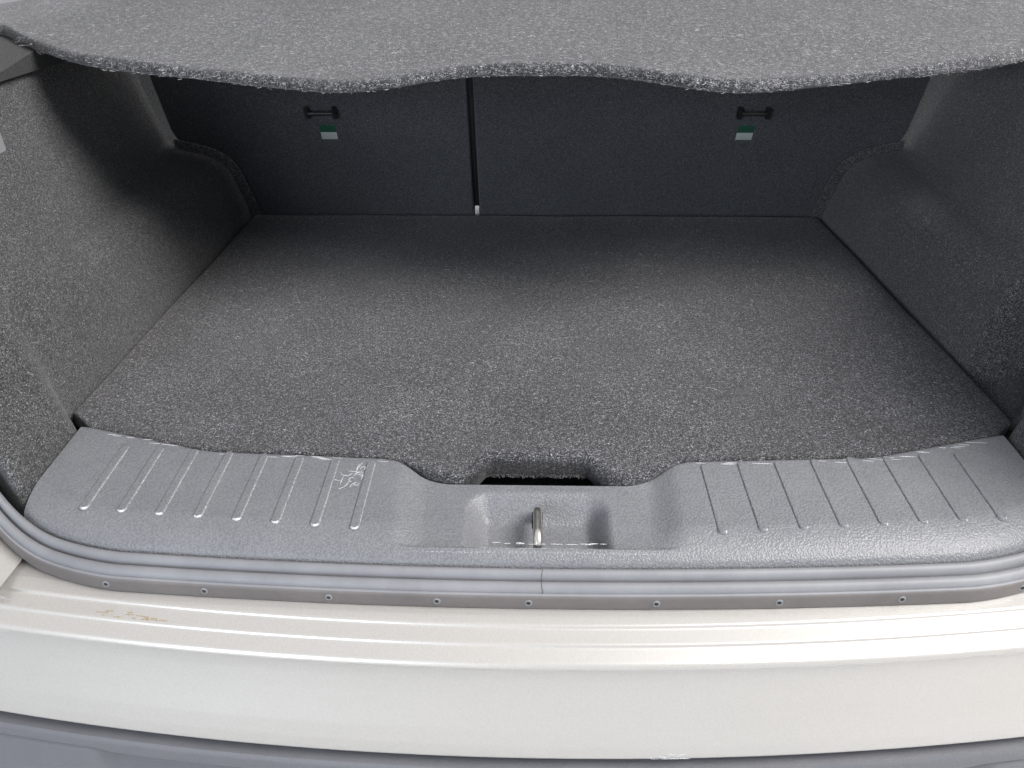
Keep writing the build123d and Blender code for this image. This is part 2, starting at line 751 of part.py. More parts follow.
def make_striker():
    """Latch loop: round wire bent over twice, on its foot plate."""
    axis_z = sill_front_z - striker_drop - striker_wire
    front, rear = striker_y + striker_span / 2, striker_y - striker_span / 2
    foot = striker_foot_z
    corners = [(0, front, foot), (0, front, axis_z), (0, rear, axis_z), (0, rear, foot)]
    path = FilletPolyline(*corners, radius=striker_bend)
    loop = sweep(Pos(0, front, foot) * Circle(striker_wire), path)
    plate = block(-30, 30, rear - 13, front + 16, foot - 5, foot)
    return loop + plate


def make_striker_bracket():
    return block(-40, 40, striker_y - 34, striker_y + 39, flange_z, striker_foot_z - 5)


def make_seal():
    """Tailgate seal round the sill and up both sides: carrier, lower bead and upper bead."""
    seal = None
    for rear, front, height in seal_bands:
        ring = aperture_prism(seal_out) - aperture_prism(-height)
        ring = ring & block(-700, 700, -1100, -700, 0, belt_z)
        band = ring & (behind_seal(front) - behind_seal(rear))
        seal = band if seal is None else seal + band
    return seal


# Seat backs

def seat_frame():
    """Location of a seat back: Z runs up the back, Y forward through it, with the pivot at the origin."""
    return Location((0, seat_pivot_y, seat_pivot_z), (seat_lean, 0, 0))


def make_seat_slab(side, x_in, y0, y1, edge):
    """One seat back's slab between two depths: narrow at the foot, full width above the step."""
    foot = seat_foot_half - edge
    wide = seat_half - edge
    length = seat_length
    lower = [(foot, 0), (foot + 1, 50), (foot + 9, 90), (foot + 34, seat_step - 6)]
    upper = [(wide - 13, seat_step + 14), (wide, seat_step + 38), (wide, length - 30), (wide - 30, length)]
    points = [(x_in, 0)] + [(side * x, z) for x, z in lower + upper] + [(x_in, length)]
    slab = extrude(Plane.XZ * polygon(points), y1 - y0)
    low = slab.bounding_box().min.Y
    return Pos(0, y0 - low, 0) * slab


def make_seat_panel(side, x_in):
    rear = -seat_base_radius
    return seat_frame() * make_seat_slab(side, x_in, rear, rear + panel_thickness, 0)


def make_seat_foam(side, x_in):
    """Cushion with a round foot about the pivot, and a blind bore at each end for the pins."""
    radius = seat_base_radius
    slab = make_seat_slab(side, x_in, -radius + panel_thickness, radius, cushion_inset)
    foot_end = side * (seat_foot_half - cushion_inset)
    x0, x1 = sorted((x_in, foot_end))
    base = across(radius, x0, x1, 0, 0) & block(-700, 700, -radius + panel_thickness, radius, -radius, 0.5)
    bores = across(pin_radius + seat_gap, x0 - 30, x1 + 30, 0, 0) - block(x0 + 22, x1 - 22, -20, 20, -20, 20)
    return seat_frame() * (slab + base - bores)


def make_head_restraint(xs):
    """Pads on two stays each, standing on the seat back."""
    pads = []
    for x in xs:
        foot = seat_length + stay_length
        pad = Pos(x, 0, foot + rest_height / 2) * Box(rest_width, rest_depth, rest_height)
        pad = fillet(pad.edges().filter_by(Axis.X), 34)
        pad = chamfer(pad.faces().filter_by(Axis.X).edges(), 14)
        for dx in (-70, 70):
            pad += Pos(x + dx, 0, seat_length + stay_length / 2 + 5) * Cylinder(6, stay_length + 10)
        pads.append(pad)
    return seat_frame() * Compound(children=pads)


def make_tether(x):
    """Child-seat tether loop on the back of a seat."""
    y = -seat_base_radius
    loop = across(3, x - 22, x + 22, y - 9, tether_z)
    for dx in (-22, 22):
        loop += Pos(x + dx, y - 6, tether_z) * Box(6, 12, 16)
    return seat_frame() * loop


def make_hinge_brackets():
    """Ears on the crossmember with the pins that the seat backs turn on."""
    foot = seat_pivot_z - seat_base_radius - moving_gap
    pin_reach = 18.0
    outer = seat_foot_half + ear_width
    ears = []
    # ear's place, pin to the left, pin to the right
    for x, left, right in ((-outer, 0, 1), (seat_split_x, 1, 1), (outer, 1, 0)):
        half = ear_width / 2
        rear, front = seat_pivot_y - ear_radius, seat_pivot_y + ear_radius
        ear = block(x - half, x + half, rear, front, foot, seat_pivot_z)
        ear += across(ear_radius, x - half, x + half, seat_pivot_y, seat_pivot_z)
        x0 = x - left * (half + split_gap / 2 + pin_reach)
        x1 = x + right * (half + split_gap / 2 + pin_reach)
        ears.append(ear + across(pin_radius, x0, x1, seat_pivot_y, seat_pivot_z))
    return Compound(children=ears)


def save_pair(name, right, left=None):
    """A right-hand piece and its mirror image, or a left-hand piece of its own."""
    save(right, f"{name}_right")
    save(mirrored(right if left is None else left), f"{name}_left")


def main():
    save(make_crossmember(), "front_crossmember")
    save(make_floor_pan(), "floor_pan")
    save(make_battery(), "traction_battery")
    save(make_bumper_beam(), "bumper_beam")
    save_pair("chassis_leg", make_leg())
    save_pair("wheelhouse", make_wheelhouse())
    save_pair("arch_liner", make_arch_liner())
    save_pair("quarter_panel", make_quarter())
    save_pair("arch_cladding", make_cladding())
    save_pair("tail_lamp", make_tail_lamp())
    save_pair("reflector", make_reflector())
    save_pair("side_trim", make_side_trim(True), make_side_trim(False))
    save_pair("pillar_trim", make_pillar_trim())
    save_pair("shelf_support", make_shelf_support())
    save(make_back_panel(), "back_panel")
    save(make_bumper_cover(), "bumper_cover")
    save(make_valance(), "bumper_valance")
    save(make_tray(), "underfloor_tray")
    save(make_sill_trim(), "sill_trim")
    save(make_load_floor(), "load_floor")
    save(make_shelf(), "parcel_shelf")
    save(make_striker(), "latch_striker")
    save(make_striker_bracket(), "striker_bracket")
    save(make_seal(), "tailgate_seal")
    save(make_hinge_brackets(), "seat_hinge_brackets")
    inner_left = seat_split_x - split_gap / 2
    inner_right = seat_split_x + split_gap / 2
    # seat, outboard side, its inner edge, head restraints, tether
    for name, side, x_in, rests in (("left", -1, inner_left, [-345]), ("right", 1, inner_right, [60, 345])):
        save(make_seat_panel(side, x_in), f"seat_back_panel_{name}")
        save(make_seat_foam(side, x_in), f"seat_back_cushion_{name}")
        save(make_head_restraint(rests), f"head_restraint_{name}")
        save(make_tether(side * tether_x), f"tether_anchor_{name}")


main()
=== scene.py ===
# %% [markdown]
# # Luggage compartment of a hybrid crossover
# The rear body section of a car, seen from behind with the tailgate open: a carpeted load floor, a plastic
# sill, two seat backs, a felt parcel shelf and the painted bumper below. The CAD part gives every size.
# Here each surface gets the form and the finish that the eye expects: pile on felt, grain on plastic,
# flake in the paint, rolled edges and wear.
# Lengths in this file are millimetres, in the CAD part's frame, and turn to metres when a mesh is made.

# %% Load the frame
import json
import math

import bmesh
import bpy
import numpy as np
from mathutils import Matrix, Vector


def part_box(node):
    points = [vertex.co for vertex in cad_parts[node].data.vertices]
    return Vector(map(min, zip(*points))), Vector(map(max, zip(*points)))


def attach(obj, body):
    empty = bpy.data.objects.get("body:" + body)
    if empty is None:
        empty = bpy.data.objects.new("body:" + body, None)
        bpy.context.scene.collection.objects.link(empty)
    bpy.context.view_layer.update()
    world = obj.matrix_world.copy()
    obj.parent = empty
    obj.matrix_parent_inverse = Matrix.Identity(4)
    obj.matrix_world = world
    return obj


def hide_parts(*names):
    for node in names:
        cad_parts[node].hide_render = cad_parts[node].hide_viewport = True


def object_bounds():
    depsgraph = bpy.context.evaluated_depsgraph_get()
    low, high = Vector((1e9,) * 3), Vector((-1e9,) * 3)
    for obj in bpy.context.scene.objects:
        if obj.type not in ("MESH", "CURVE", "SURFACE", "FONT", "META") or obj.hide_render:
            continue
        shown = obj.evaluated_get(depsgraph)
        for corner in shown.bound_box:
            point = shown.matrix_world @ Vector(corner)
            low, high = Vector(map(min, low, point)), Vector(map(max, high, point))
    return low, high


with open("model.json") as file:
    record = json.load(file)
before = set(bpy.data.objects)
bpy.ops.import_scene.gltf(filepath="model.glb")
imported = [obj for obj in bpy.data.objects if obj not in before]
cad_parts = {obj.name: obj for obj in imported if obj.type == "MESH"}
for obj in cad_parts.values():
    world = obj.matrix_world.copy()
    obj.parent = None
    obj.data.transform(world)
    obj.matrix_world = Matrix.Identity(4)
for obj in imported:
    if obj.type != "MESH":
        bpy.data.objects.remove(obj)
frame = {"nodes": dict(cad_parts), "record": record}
cad_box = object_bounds()
MM = 0.001
rng = np.random.default_rng(11)

# %% [markdown]
# ## Camera
# The photograph was taken with a phone, held over the bumper and tipped down by about 31 degrees.
# Its height, distance and lens were worked out from the load floor's corners, whose real size is known.

# %% Camera
PHOTO_WIDTH = 1024
FOCAL_PIXELS = 770
CAMERA_PLACE = (-10.5, -1452, 588)
PITCH, YAW, ROLL = math.radians(31.35), math.radians(1.32), math.radians(-0.22)

forward = Vector((-math.sin(YAW) * math.cos(PITCH), math.cos(YAW) * math.cos(PITCH), -math.sin(PITCH)))
level = Vector((math.cos(YAW), math.sin(YAW), 0))
upright = level.cross(forward)
rightward = math.cos(ROLL) * level + math.sin(ROLL) * upright
upward = math.cos(ROLL) * upright - math.sin(ROLL) * level

lens = bpy.data.cameras.new("camera")
lens.sensor_width = 36
lens.lens = lens.sensor_width * FOCAL_PIXELS / PHOTO_WIDTH
lens.clip_start = 0.02
camera = bpy.data.objects.new("camera", lens)
bpy.context.scene.collection.objects.link(camera)
turn = Matrix((rightward, upward, -forward)).transposed().to_4x4()
camera.matrix_world = Matrix.Translation([c * MM for c in CAMERA_PLACE]) @ turn
bpy.context.scene.camera = camera
bpy.context.scene.view_settings.view_transform = "Standard"
print("lens:", round(lens.lens, 1), "mm")

# %% [markdown]
# ## Nodes and colours
# Colours are written as the sRGB hex values that a colour picker shows. Blender works in linear light,
# so one function turns them. Another adds a node, sets it up and joins its inputs in one line, and short
# ones on top of it make the steps that come back in every material. Their sizes are real millimetres.


# %% Helpers for materials
def linear(hex_colour):
    """An sRGB hex colour as linear red, green, blue, alpha."""
    channels = [int(hex_colour[i:i + 2], 16) / 255 for i in (1, 3, 5)]
    return [c / 12.92 if c <= 0.04045 else ((c + 0.055) / 1.055) ** 2.4 for c in channels] + [1]


def node(tree, kind, inputs=None, **settings):
    """Adds a node with its settings. An input is a value, or another node's output to join to."""
    made = tree.nodes.new("ShaderNode" + kind)
    for name, value in settings.items():
        setattr(made, name, value)
    for name, value in (inputs or {}).items():
        if isinstance(value, bpy.types.NodeSocket):
            tree.links.new(value, made.inputs[name])
        else:
            made.inputs[name].default_value = value
    return made


def start_material(name, **sockets):
    """A new material: its node tree, its shader and the place in the part's own frame."""
    material = bpy.data.materials.new(name)
    material.use_nodes = True
    tree = material.node_tree
    shader = tree.nodes["Principled BSDF"]
    for socket, value in sockets.items():
        shader.inputs[socket.replace("_", " ")].default_value = value
    place = node(tree, "TexCoord").outputs["Object"]
    return material, tree, shader, place


def noise(tree, place, size, detail=2.0, roughness=0.5):
    """Noise whose coarsest lumps have a size in millimetres."""
    return node(tree, "TexNoise", {"Vector": place, "Scale": 1 / (size * MM), "Detail": detail,
                                   "Roughness": roughness}).outputs["Fac"]


def maths(tree, operation, *values, **settings):
    """The result of a Math node."""
    return node(tree, "Math", dict(enumerate(values)), operation=operation, **settings).outputs[0]


def remap(tree, value, low=0.0, high=1.0, new_low=0.0, new_high=1.0):
    """A value moved from one range to another."""
    return node(tree, "MapRange", {"Value": value, "From Min": low, "From Max": high, "To Min": new_low,
                                   "To Max": new_high}).outputs[0]


def colour_stops(ramp, stops):
    """Sets a colour ramp's (position, hex colour) stops and returns its colour."""
    elements = ramp.color_ramp.elements
    while len(elements) < len(stops):
        elements.new(0.5)
    for element, (position, colour) in zip(elements, stops):
        element.position = position
        element.color = linear(colour)
    return ramp.outputs["Color"]


def colour_mix(tree, shader, factor, first, second):
    """Mixes two colours, given as hex or as a node's output, into the shader's base colour."""
    first, second = (linear(c) if isinstance(c, str) else c for c in (first, second))
    mixed = node(tree, "Mix", {"Factor": factor, "A": first, "B": second}, data_type="RGBA")
    tree.links.new(mixed.outputs["Result"], shader.inputs["Base Color"])


def relief(tree, shader, height, strength, depth):
    """Bump from a height, with its depth in millimetres."""
    bump = node(tree, "Bump", {"Height": height, "Strength": strength, "Distance": depth * MM})
    tree.links.new(bump.outputs["Normal"], shader.inputs["Normal"])


def scuffs_and_painted_highlights(tree, breakup):
    """0 on clean surface, 1 where the mesh's number for rubbing and painted highlights is high, with an edge
    broken by noise.
    """
    wear_and_painted_light = node(tree, "Attribute", attribute_name="wear_and_painted_light").outputs["Fac"]
    return remap(tree, maths(tree, "MULTIPLY", wear_and_painted_light, breakup), 0.25, 0.5)


# %% [markdown]
# ## Needle felt
# Boot carpet is polyester fibre that is punched with barbed needles until it holds together. It has no
# weave. Close up it is a mess of fibres in dark and pale shades, with a few nearly white ones. It could be
# real strands, but there would be millions, so the fibres are noise, drawn about 1.5 mm long so that they
# show, with a few hundred real loose hairs on top. Felt never shines: roughness is high, and a little sheen
# gives the pale edge that pile has when it is seen from the side.


# %% Needle felt
def needle_felt(name, dark, middle, pale, fleck, fibre=1.1, sheen=0.2, clump=0.22, patches=0.1):
    """Matted fibres in four shades, in tufts (clump) and with worn patches (patches), darkened as painted shade
    where the mesh's own number is high.
    """
    material, tree, shader, place = start_material(
        name, Roughness=0.95, Sheen_Weight=sheen, Sheen_Roughness=0.6, Specular_IOR_Level=0.15)
    strands = []
    for rotation, stretch in (((0.4, 0.2, 0.7), (1, 0.3, 0.8)), ((0.1, 0.5, -0.8), (0.3, 1, 0.8))):
        lain = node(tree, "Mapping", {"Vector": place, "Rotation": rotation, "Scale": stretch})
        strands.append(noise(tree, lain.outputs[0], fibre / 1.7))
    mess = maths(tree, "ADD", maths(tree, "MAXIMUM", *strands), noise(tree, place, fibre, 3, 0.7))
    uneven = maths(tree, "MULTIPLY_ADD", noise(tree, place, 3.2 * fibre), clump, mess)
    trodden_patches_and_painted_shade = maths(tree, "MULTIPLY_ADD", noise(tree, place, 90, 3, 0.6), patches, uneven)
    half = maths(tree, "MULTIPLY", trodden_patches_and_painted_shade, 0.5)
    ramp = node(tree, "ValToRGB", {"Fac": half})
    shift = (clump + patches) * 0.25
    shades = zip((0.45, 0.54, 0.63, 0.72), (dark, middle, pale, fleck))
    colour = colour_stops(ramp, [(position + shift, shade) for position, shade in shades])
    # Painted shade: where the mesh's number rises the felt turns to its dark shade; only the load floor's scoop
    # uses it
    painted_shade = node(tree, "Attribute", attribute_name="wear_and_painted_light").outputs["Fac"]
    colour_mix(tree, shader, painted_shade, colour, dark)
    relief(tree, shader, half, 0.8, 1.5)
    return material


floor_carpet = needle_felt("needle_felt_load_floor", "#19191b", "#48484b", "#919195", "#f2f2f4", fibre=1.5)
side_carpet = needle_felt("needle_felt_side_trim", "#262728", "#4f5051", "#858587", "#dcdcdc", fibre=1.4)
shelf_felt = needle_felt("needle_felt_shelf", "#232325", "#494a4d", "#8c8c8f", "#e2e2e4", fibre=1.7,
                         sheen=0.3, clump=0.5)
# The shelf supports' felt is the side trim's felt made darker: painted shade for the shadow under the shelf
painted_shade_support_felt = needle_felt("needle_felt_shelf_support_painted_shade", "#161718", "#262728", "#3f4042", "#77787a", fibre=1.2)
seat_felt = needle_felt("needle_felt_seat_back", "#2f3134", "#4f5156", "#6d6f73", "#9a9b9e", fibre=1.2)


# %% Threads and tags
def plain_cloth(name, colour, other, thread):
    """Two shades in a fine check of threads."""
    material, tree, shader, place = start_material(
        name, Roughness=0.9, Sheen_Weight=0.15, Specular_IOR_Level=0.15)
    weave = node(tree, "TexChecker", {"Vector": place, "Scale": 1 / (thread * MM), "Color1": linear(colour),
                                      "Color2": linear(other)})
    tree.links.new(weave.outputs["Color"], shader.inputs["Base Color"])
    relief(tree, shader, weave.outputs["Fac"], 0.4, 0.2)
    return material


green_cloth = plain_cloth("woven_tag_polyester_green", "#1f4a3a", "#2c5c49", 0.8)
pale_cloth = plain_cloth("woven_tag_polyester_pale", "#a9b0ab", "#c3c9c4", 0.8)
lint = plain_cloth("loose_polyester_fibre_pale", "#c9c7c8", "#e6e4e4", 2.0)
dark_lint = plain_cloth("loose_polyester_fibre_dark", "#5a5759", "#8b888a", 1.0)
stress_white = plain_cloth("scraped_polypropylene_white", "#c4c5c8", "#e9e9eb", 1.5)
dried_dirt = plain_cloth("dried_dirt_brown", "#a58a5e", "#c3ab82", 2.0)

# %% [markdown]
# ## Moulded plastics
# The sill, the pillar trims and the lower bumper are polypropylene or ABS, moulded in a tool whose face is
# etched with a leather grain. The grain scatters light, so the plastic looks satin. Cells of about 1 mm
# are drawn at 1.3 to 1.7 mm so that they show. Scuffs turn the surface pale: a mesh can carry a wear number
# at its points, and the material turns towards the pale colour where that number rises. On the sill's ribs
# the same number also paints highlights.


# %% Moulded plastics
def grained_plastic(name, colour, scuffed, roughness=0.5, grain=1.3, depth=0.35, dust=0.25, speckle=0.0):
    """Etched plastic that turns pale with dust, on the grain's tops (speckle) and where it is worn."""
    material, tree, shader, place = start_material(name, IOR=1.49)
    cells = node(tree, "TexVoronoi", {"Vector": place, "Scale": 1 / (grain * MM)}, feature="SMOOTH_F1")
    pebble = remap(tree, cells.outputs["Distance"], 0.1, 0.6, 1.0, 0.0)
    height = maths(tree, "MULTIPLY_ADD", noise(tree, place, 0.6 * grain), 0.5, pebble)
    relief(tree, shader, height, depth, 0.5)
    tops = maths(tree, "MULTIPLY", height, speckle)
    film = noise(tree, place, 45, 5, 0.65)
    dusty = remap(tree, film, 0.45, 0.8, 0.0, dust)
    pale = maths(tree, "MAXIMUM", dusty, scuffs_and_painted_highlights(tree, noise(tree, place, 1.6, 3, 0.8)))
    pale = maths(tree, "ADD", pale, tops, use_clamp=True)
    colour_mix(tree, shader, pale, colour, scuffed)
    shine = remap(tree, film, 0.0, 1.0, roughness - 0.08, roughness + 0.12)
    tree.links.new(shine, shader.inputs["Roughness"])
    return material


sill_plastic = grained_plastic("polypropylene_sill_grained", "#707277", "#ececee", roughness=0.38,
                               grain=1.7, depth=0.6, dust=0.05, speckle=0.11)
trim_plastic = grained_plastic("abs_trim_grained", "#2c2d31", "#77787c", roughness=0.5)
bumper_plastic = grained_plastic("polypropylene_bumper_grained", "#6c6d72", "#9c9ca0", roughness=0.5,
                                 grain=1.6, dust=0.1)
pale_plastic = grained_plastic("abs_pillar_trim_pale", "#87888c", "#bfc0c2", roughness=0.5, dust=0.06,
                               speckle=0.05)
black_plastic = grained_plastic("abs_black_satin", "#1b1c1e", "#4a4b4d", roughness=0.45, depth=0.15)

# %% [markdown]
# ## Paint
# The body is champagne silver: a basecoat with aluminium flake under clear lacquer. The flake makes the
# colour brighten where the surface faces the light and gives a fine sparkle in shade. Real flake is 0.02 to
# 0.05 mm and couldn't show, so the speckle is drawn at 0.7 mm and kept faint. The lacquer is a coat. Panels
# that no one sees have only the grey dip primer, which has no flake and no lacquer.


# %% Paint
def flake_paint(name, colour, deep, **sockets):
    """Paint with a faint speckle of flake."""
    material, tree, shader, place = start_material(name, **sockets)
    flake = node(tree, "TexVoronoi", {"Vector": place, "Scale": 1 / (0.7 * MM)})
    grey = node(tree, "RGBToBW", {"Color": flake.outputs["Color"]}).outputs[0]
    speckle = remap(tree, grey, 0.2, 0.9, 0.0, 0.35)
    cloudy = maths(tree, "MULTIPLY_ADD", noise(tree, place, 120, 4), 0.12, speckle)
    colour_mix(tree, shader, cloudy, colour, deep)
    relief(tree, shader, grey, 0.06, 0.2)
    return material


body_paint = flake_paint("paint_champagne_silver", "#c6c3bf", "#a8a5a1", Metallic=0.35, Roughness=0.38,
                         Coat_Weight=1.0, Coat_Roughness=0.06, Coat_IOR=1.5)
body_primer = flake_paint("electrocoat_primer_grey", "#6f7174", "#4e5053", Metallic=0.0, Roughness=0.55)

# %% [markdown]
# ## Rubber, steel, foam and lamps
# The seal is EPDM sponge with a skin: matt, slightly dusty, and greyer than one expects of rubber, because
# the dust sits in its pores. The latch loop is bare drawn steel, rubbed by the lock. The tray under the
# floor is bead foam, whose cells of 3 mm show as a pattern. The lamps are clear red acrylic.


# %% Rubber
def sponge_rubber(name, colour, dusty):
    """Matt rubber with dust in its pores."""
    material, tree, shader, place = start_material(name, Roughness=0.55, IOR=1.5)
    fine = noise(tree, place, 0.9)
    pale = maths(tree, "MAXIMUM", noise(tree, place, 60, 6, 0.7), scuffs_and_painted_highlights(tree, fine))
    colour_mix(tree, shader, pale, colour, dusty)
    relief(tree, shader, fine, 0.15, 0.3)
    return material


seal_rubber = sponge_rubber("epdm_seal_sponge", "#75767b", "#a0a1a5")
door_rubber = sponge_rubber("epdm_door_seal", "#26272a", "#46474a")
carrier_rubber = sponge_rubber("epdm_seal_carrier", "#5f5b5b", "#857f7d")


# %% Steel
def drawn_steel(name, colour, dull, roughness, streak=(1, 1, 1)):
    """Metal with dull streaks, which run along the drawing direction."""
    material, tree, shader, place = start_material(name, Metallic=1.0)
    drawn = node(tree, "Mapping", {"Vector": place, "Scale": streak})
    lines = noise(tree, drawn.outputs[0], 1.2, 4)
    colour_mix(tree, shader, lines, colour, dull)
    shine = remap(tree, lines, 0.0, 1.0, roughness * 0.6, roughness * 1.5)
    tree.links.new(shine, shader.inputs["Roughness"])
    return material


bare_steel = drawn_steel("bare_steel_drawn", "#e2e0dc", "#8e8b86", 0.32, (1, 0.15, 0.15))
chrome = drawn_steel("chromed_steel_tube", "#e9eaec", "#cfd2d6", 0.08)
bracket_steel = drawn_steel("pressed_steel_zinc", "#a8a9a6", "#77797a", 0.45)
battery_case = drawn_steel("pressed_aluminium_case", "#b9bbbd", "#8c8f92", 0.5)


# %% Foam
def bead_foam(name, colour, seam):
    """Foam of welded beads, with a seam round each."""
    material, tree, shader, place = start_material(name, Roughness=0.85, Specular_IOR_Level=0.3)
    beads = node(tree, "TexVoronoi", {"Vector": place, "Scale": 1 / (3.4 * MM)}, feature="DISTANCE_TO_EDGE")
    edge = remap(tree, beads.outputs["Distance"], 0.0, 0.12)
    colour_mix(tree, shader, edge, seam, colour)
    relief(tree, shader, edge, 0.5, 0.6)
    return material


tray_foam = bead_foam("expanded_polypropylene_tray", "#303134", "#1a1b1d")

# %% Lamp acrylic
# Brings a wave texture's repeat to two of the size given: one light band and one dark
WAVE_TURN = 6.3


def lamp_acrylic(name, colour, deep, rib):
    """Coloured acrylic with ribs moulded on its back."""
    material, tree, shader, place = start_material(
        name, Roughness=0.12, IOR=1.49, Coat_Weight=1.0, Coat_Roughness=0.03)
    optic = node(tree, "TexWave", {"Vector": place, "Scale": 1 / (rib * MM) / WAVE_TURN}, bands_direction="X")
    colour_mix(tree, shader, optic.outputs["Fac"], deep, colour)
    relief(tree, shader, optic.outputs["Fac"], 0.3, 0.5)
    return material


lamp_red = lamp_acrylic("acrylic_lamp_red", "#b3121a", "#5e070c", 3.0)
lamp_clear = lamp_acrylic("acrylic_lamp_clear", "#d7d8da", "#8f9196", 5.0)
lamp_amber = lamp_acrylic("acrylic_lamp_amber", "#cf7a1c", "#7c4109", 4.0)
reflector_red = lamp_acrylic("acrylic_reflector_red", "#c4161f", "#6d090f", 1.8)

# %% [markdown]
# ## Seat cloth
# The middle of each seat is spacer mesh, a knitted cloth with a grid of small holes, laminated to foam. The
# grid is a Voronoi texture with no randomness, which gives even cells. The knit repeats every 3 mm. The
# bolsters are a plain weave, two waves that cross.


# %% Seat cloth
def spacer_cloth(name, colour, hole):
    """Knitted mesh with an even grid of holes."""
    material, tree, shader, place = start_material(
        name, Roughness=0.85, Sheen_Weight=0.3, Sheen_Roughness=0.5, Specular_IOR_Level=0.2)
    turned = node(tree, "Mapping", {"Vector": place, "Rotation": (0, math.radians(45), 0)})
    knit = node(tree, "TexVoronoi", {"Vector": turned.outputs[0], "Scale": 1 / (3 * MM), "Randomness": 0.0})
    cloth = remap(tree, knit.outputs["Distance"], 0.18, 0.4)
    shade = maths(tree, "MULTIPLY", cloth, noise(tree, place, 0.9))
    colour_mix(tree, shader, shade, hole, colour)
    relief(tree, shader, shade, 0.6, 0.8)
    return material


def woven_cloth(name, warp, weft, thread):
    """Plain weave with slubs."""
    material, tree, shader, place = start_material(
        name, Roughness=0.8, Sheen_Weight=0.25, Sheen_Roughness=0.5, Specular_IOR_Level=0.2)
    across, along = (node(tree, "TexWave", {"Vector": place, "Scale": 1 / (thread * MM) / WAVE_TURN},
                          bands_direction=axis).outputs["Fac"] for axis in "XZ")
    over = maths(tree, "MULTIPLY", across, along)
    shade = maths(tree, "MULTIPLY_ADD", noise(tree, place, 14, 4), 0.6, over)
    colour_mix(tree, shader, shade, weft, warp)
    relief(tree, shader, over, 0.5, 0.5)
    return material


seat_cloth = spacer_cloth("spacer_mesh_seat_cloth", "#54565b", "#17181a")
bolster_cloth = woven_cloth("woven_polyester_bolster", "#3a3b3f", "#1f2023", 1.6)

# %% [markdown]
# ## Finishes for the CAD nodes
# Rigid pieces whose CAD shape is right stay as they are, and get a finish by the record's material slot.

# %% Dress the CAD nodes
FINISHES = {
    "body_primer": body_primer, "battery_case": battery_case, "body_paint": body_paint,
    "black_plastic": black_plastic, "bumper_plastic": bumper_plastic, "trim_plastic": trim_plastic,
    "pale_plastic": pale_plastic, "side_carpet": side_carpet, "floor_carpet": floor_carpet,
    "shelf_felt": shelf_felt, "seat_felt": seat_felt, "seat_cloth": seat_cloth, "foam": tray_foam,
    "lamp_lens": lamp_red, "bare_steel": bare_steel, "seal_rubber": seal_rubber,
}
slot_of = {entry["node"]: entry["material_slot"] for entry in frame["record"]["subparts"]}
for name, item in frame["nodes"].items():
    item.data.materials.clear()
    item.data.materials.append(FINISHES[slot_of[name]])
# The shelf supports take the darker felt, painted shade under the shelf
for name in ("shelf_support_left", "shelf_support_right"):
    frame["nodes"][name].data.materials[0] = painted_shade_support_felt
for name in ("tether_anchor_left", "tether_anchor_right"):
    frame["nodes"][name].data.materials[0] = black_plastic
frame["nodes"]["seat_hinge_brackets"].data.materials[0] = black_plastic
print("slots:", len(FINISHES), "nodes:", len(slot_of))

# %% [markdown]
# ## Making meshes
# Most pieces here are thin sheets or mouldings, so they are made as grids: rows of points worked out from
# a formula, joined by four-sided faces. A Solidify modifier gives a sheet its thickness. Faces are shaded
# smooth, with hard edges only where the surface turns sharply.


# %% Helpers for meshes
def smooth_step(value, low=0.0, high=1.0):
    """0 below low, 1 above high and a soft rise between."""
    t = np.clip((np.asarray(value, float) - low) / (high - low), 0, 1)
    return t * t * (3 - 2 * t)


def ridge(distance, width):
    """1 on a line, falling off within about a width of it."""
    return np.exp(-(distance / width)**2)


def ramp_up(distance, run):
    """0 at an edge and 1 from the run's length inside it."""
    return np.clip(distance / run, 0, 1)


def hollowed(across, along):
    """0 outside a hollow, 1 on its floor, with round corners between its sides."""
    return smooth_step(1 - np.hypot(1 - across, 1 - along))


def smooth_curve(knots, where):
    """A smooth curve through knots (x, y): cubic pieces whose slope at a knot is the neighbours' mean."""
    knots = np.array(knots, float)
    slope = np.gradient(knots[:, 1], knots[:, 0])
    slope[0] = 0
    index = np.clip(np.searchsorted(knots[:, 0], where) - 1, 0, len(knots) - 2)
    width = knots[index + 1, 0] - knots[index, 0]
    t = (where - knots[index, 0]) / width
    a, b = knots[index, 1], knots[index + 1, 1]
    return ((2 * t**3 - 3 * t**2 + 1) * a + (t**3 - 2 * t**2 + t) * width * slope[index]
            + (3 * t**2 - 2 * t**3) * b + (t**3 - t**2) * width * slope[index + 1])


def grid_faces(rows, columns, closed=False):
    """Four-sided faces over points listed row by row. Closed joins the last column to the first."""
    faces = []
    for row in range(rows - 1):
        for column in range(columns if closed else columns - 1):
            a = row * columns + column
            b = row * columns + (column + 1) % columns
            faces.append((a, b, b + columns, a + columns))
    return faces


def tube(path, radius, sides=8):
    """Points and faces of a round bar along a path, closed at both ends."""
    path = np.asarray(path, float)
    along = np.gradient(path, axis=0)
    along /= np.linalg.norm(along, axis=1)[:, None]
    aside = np.cross(along, (0.31, 0.17, 0.93))
    aside /= np.linalg.norm(aside, axis=1)[:, None]
    over = np.cross(along, aside)
    angles = np.arange(sides) * 2 * math.pi / sides
    ring = np.cos(angles)[:, None] * aside[:, None] + np.sin(angles)[:, None] * over[:, None]
    points = path[:, None] + ring * np.broadcast_to(radius, len(path))[:, None, None]
    faces = grid_faces(len(path), sides, closed=True)
    faces += [tuple(range(sides)), tuple(reversed(range((len(path) - 1) * sides, len(path) * sides)))]
    return points.reshape(-1, 3), faces


def stacked_rings(rings):
    """Points and faces of a form made of closed rings, with a face on its first and last ring."""
    rings = np.asarray(rings, float)
    rows, count = rings.shape[:2]
    faces = grid_faces(rows, count, closed=True)
    faces += [tuple(reversed(range(count))), tuple(range((rows - 1) * count, rows * count))]
    return rings.reshape(-1, 3), faces


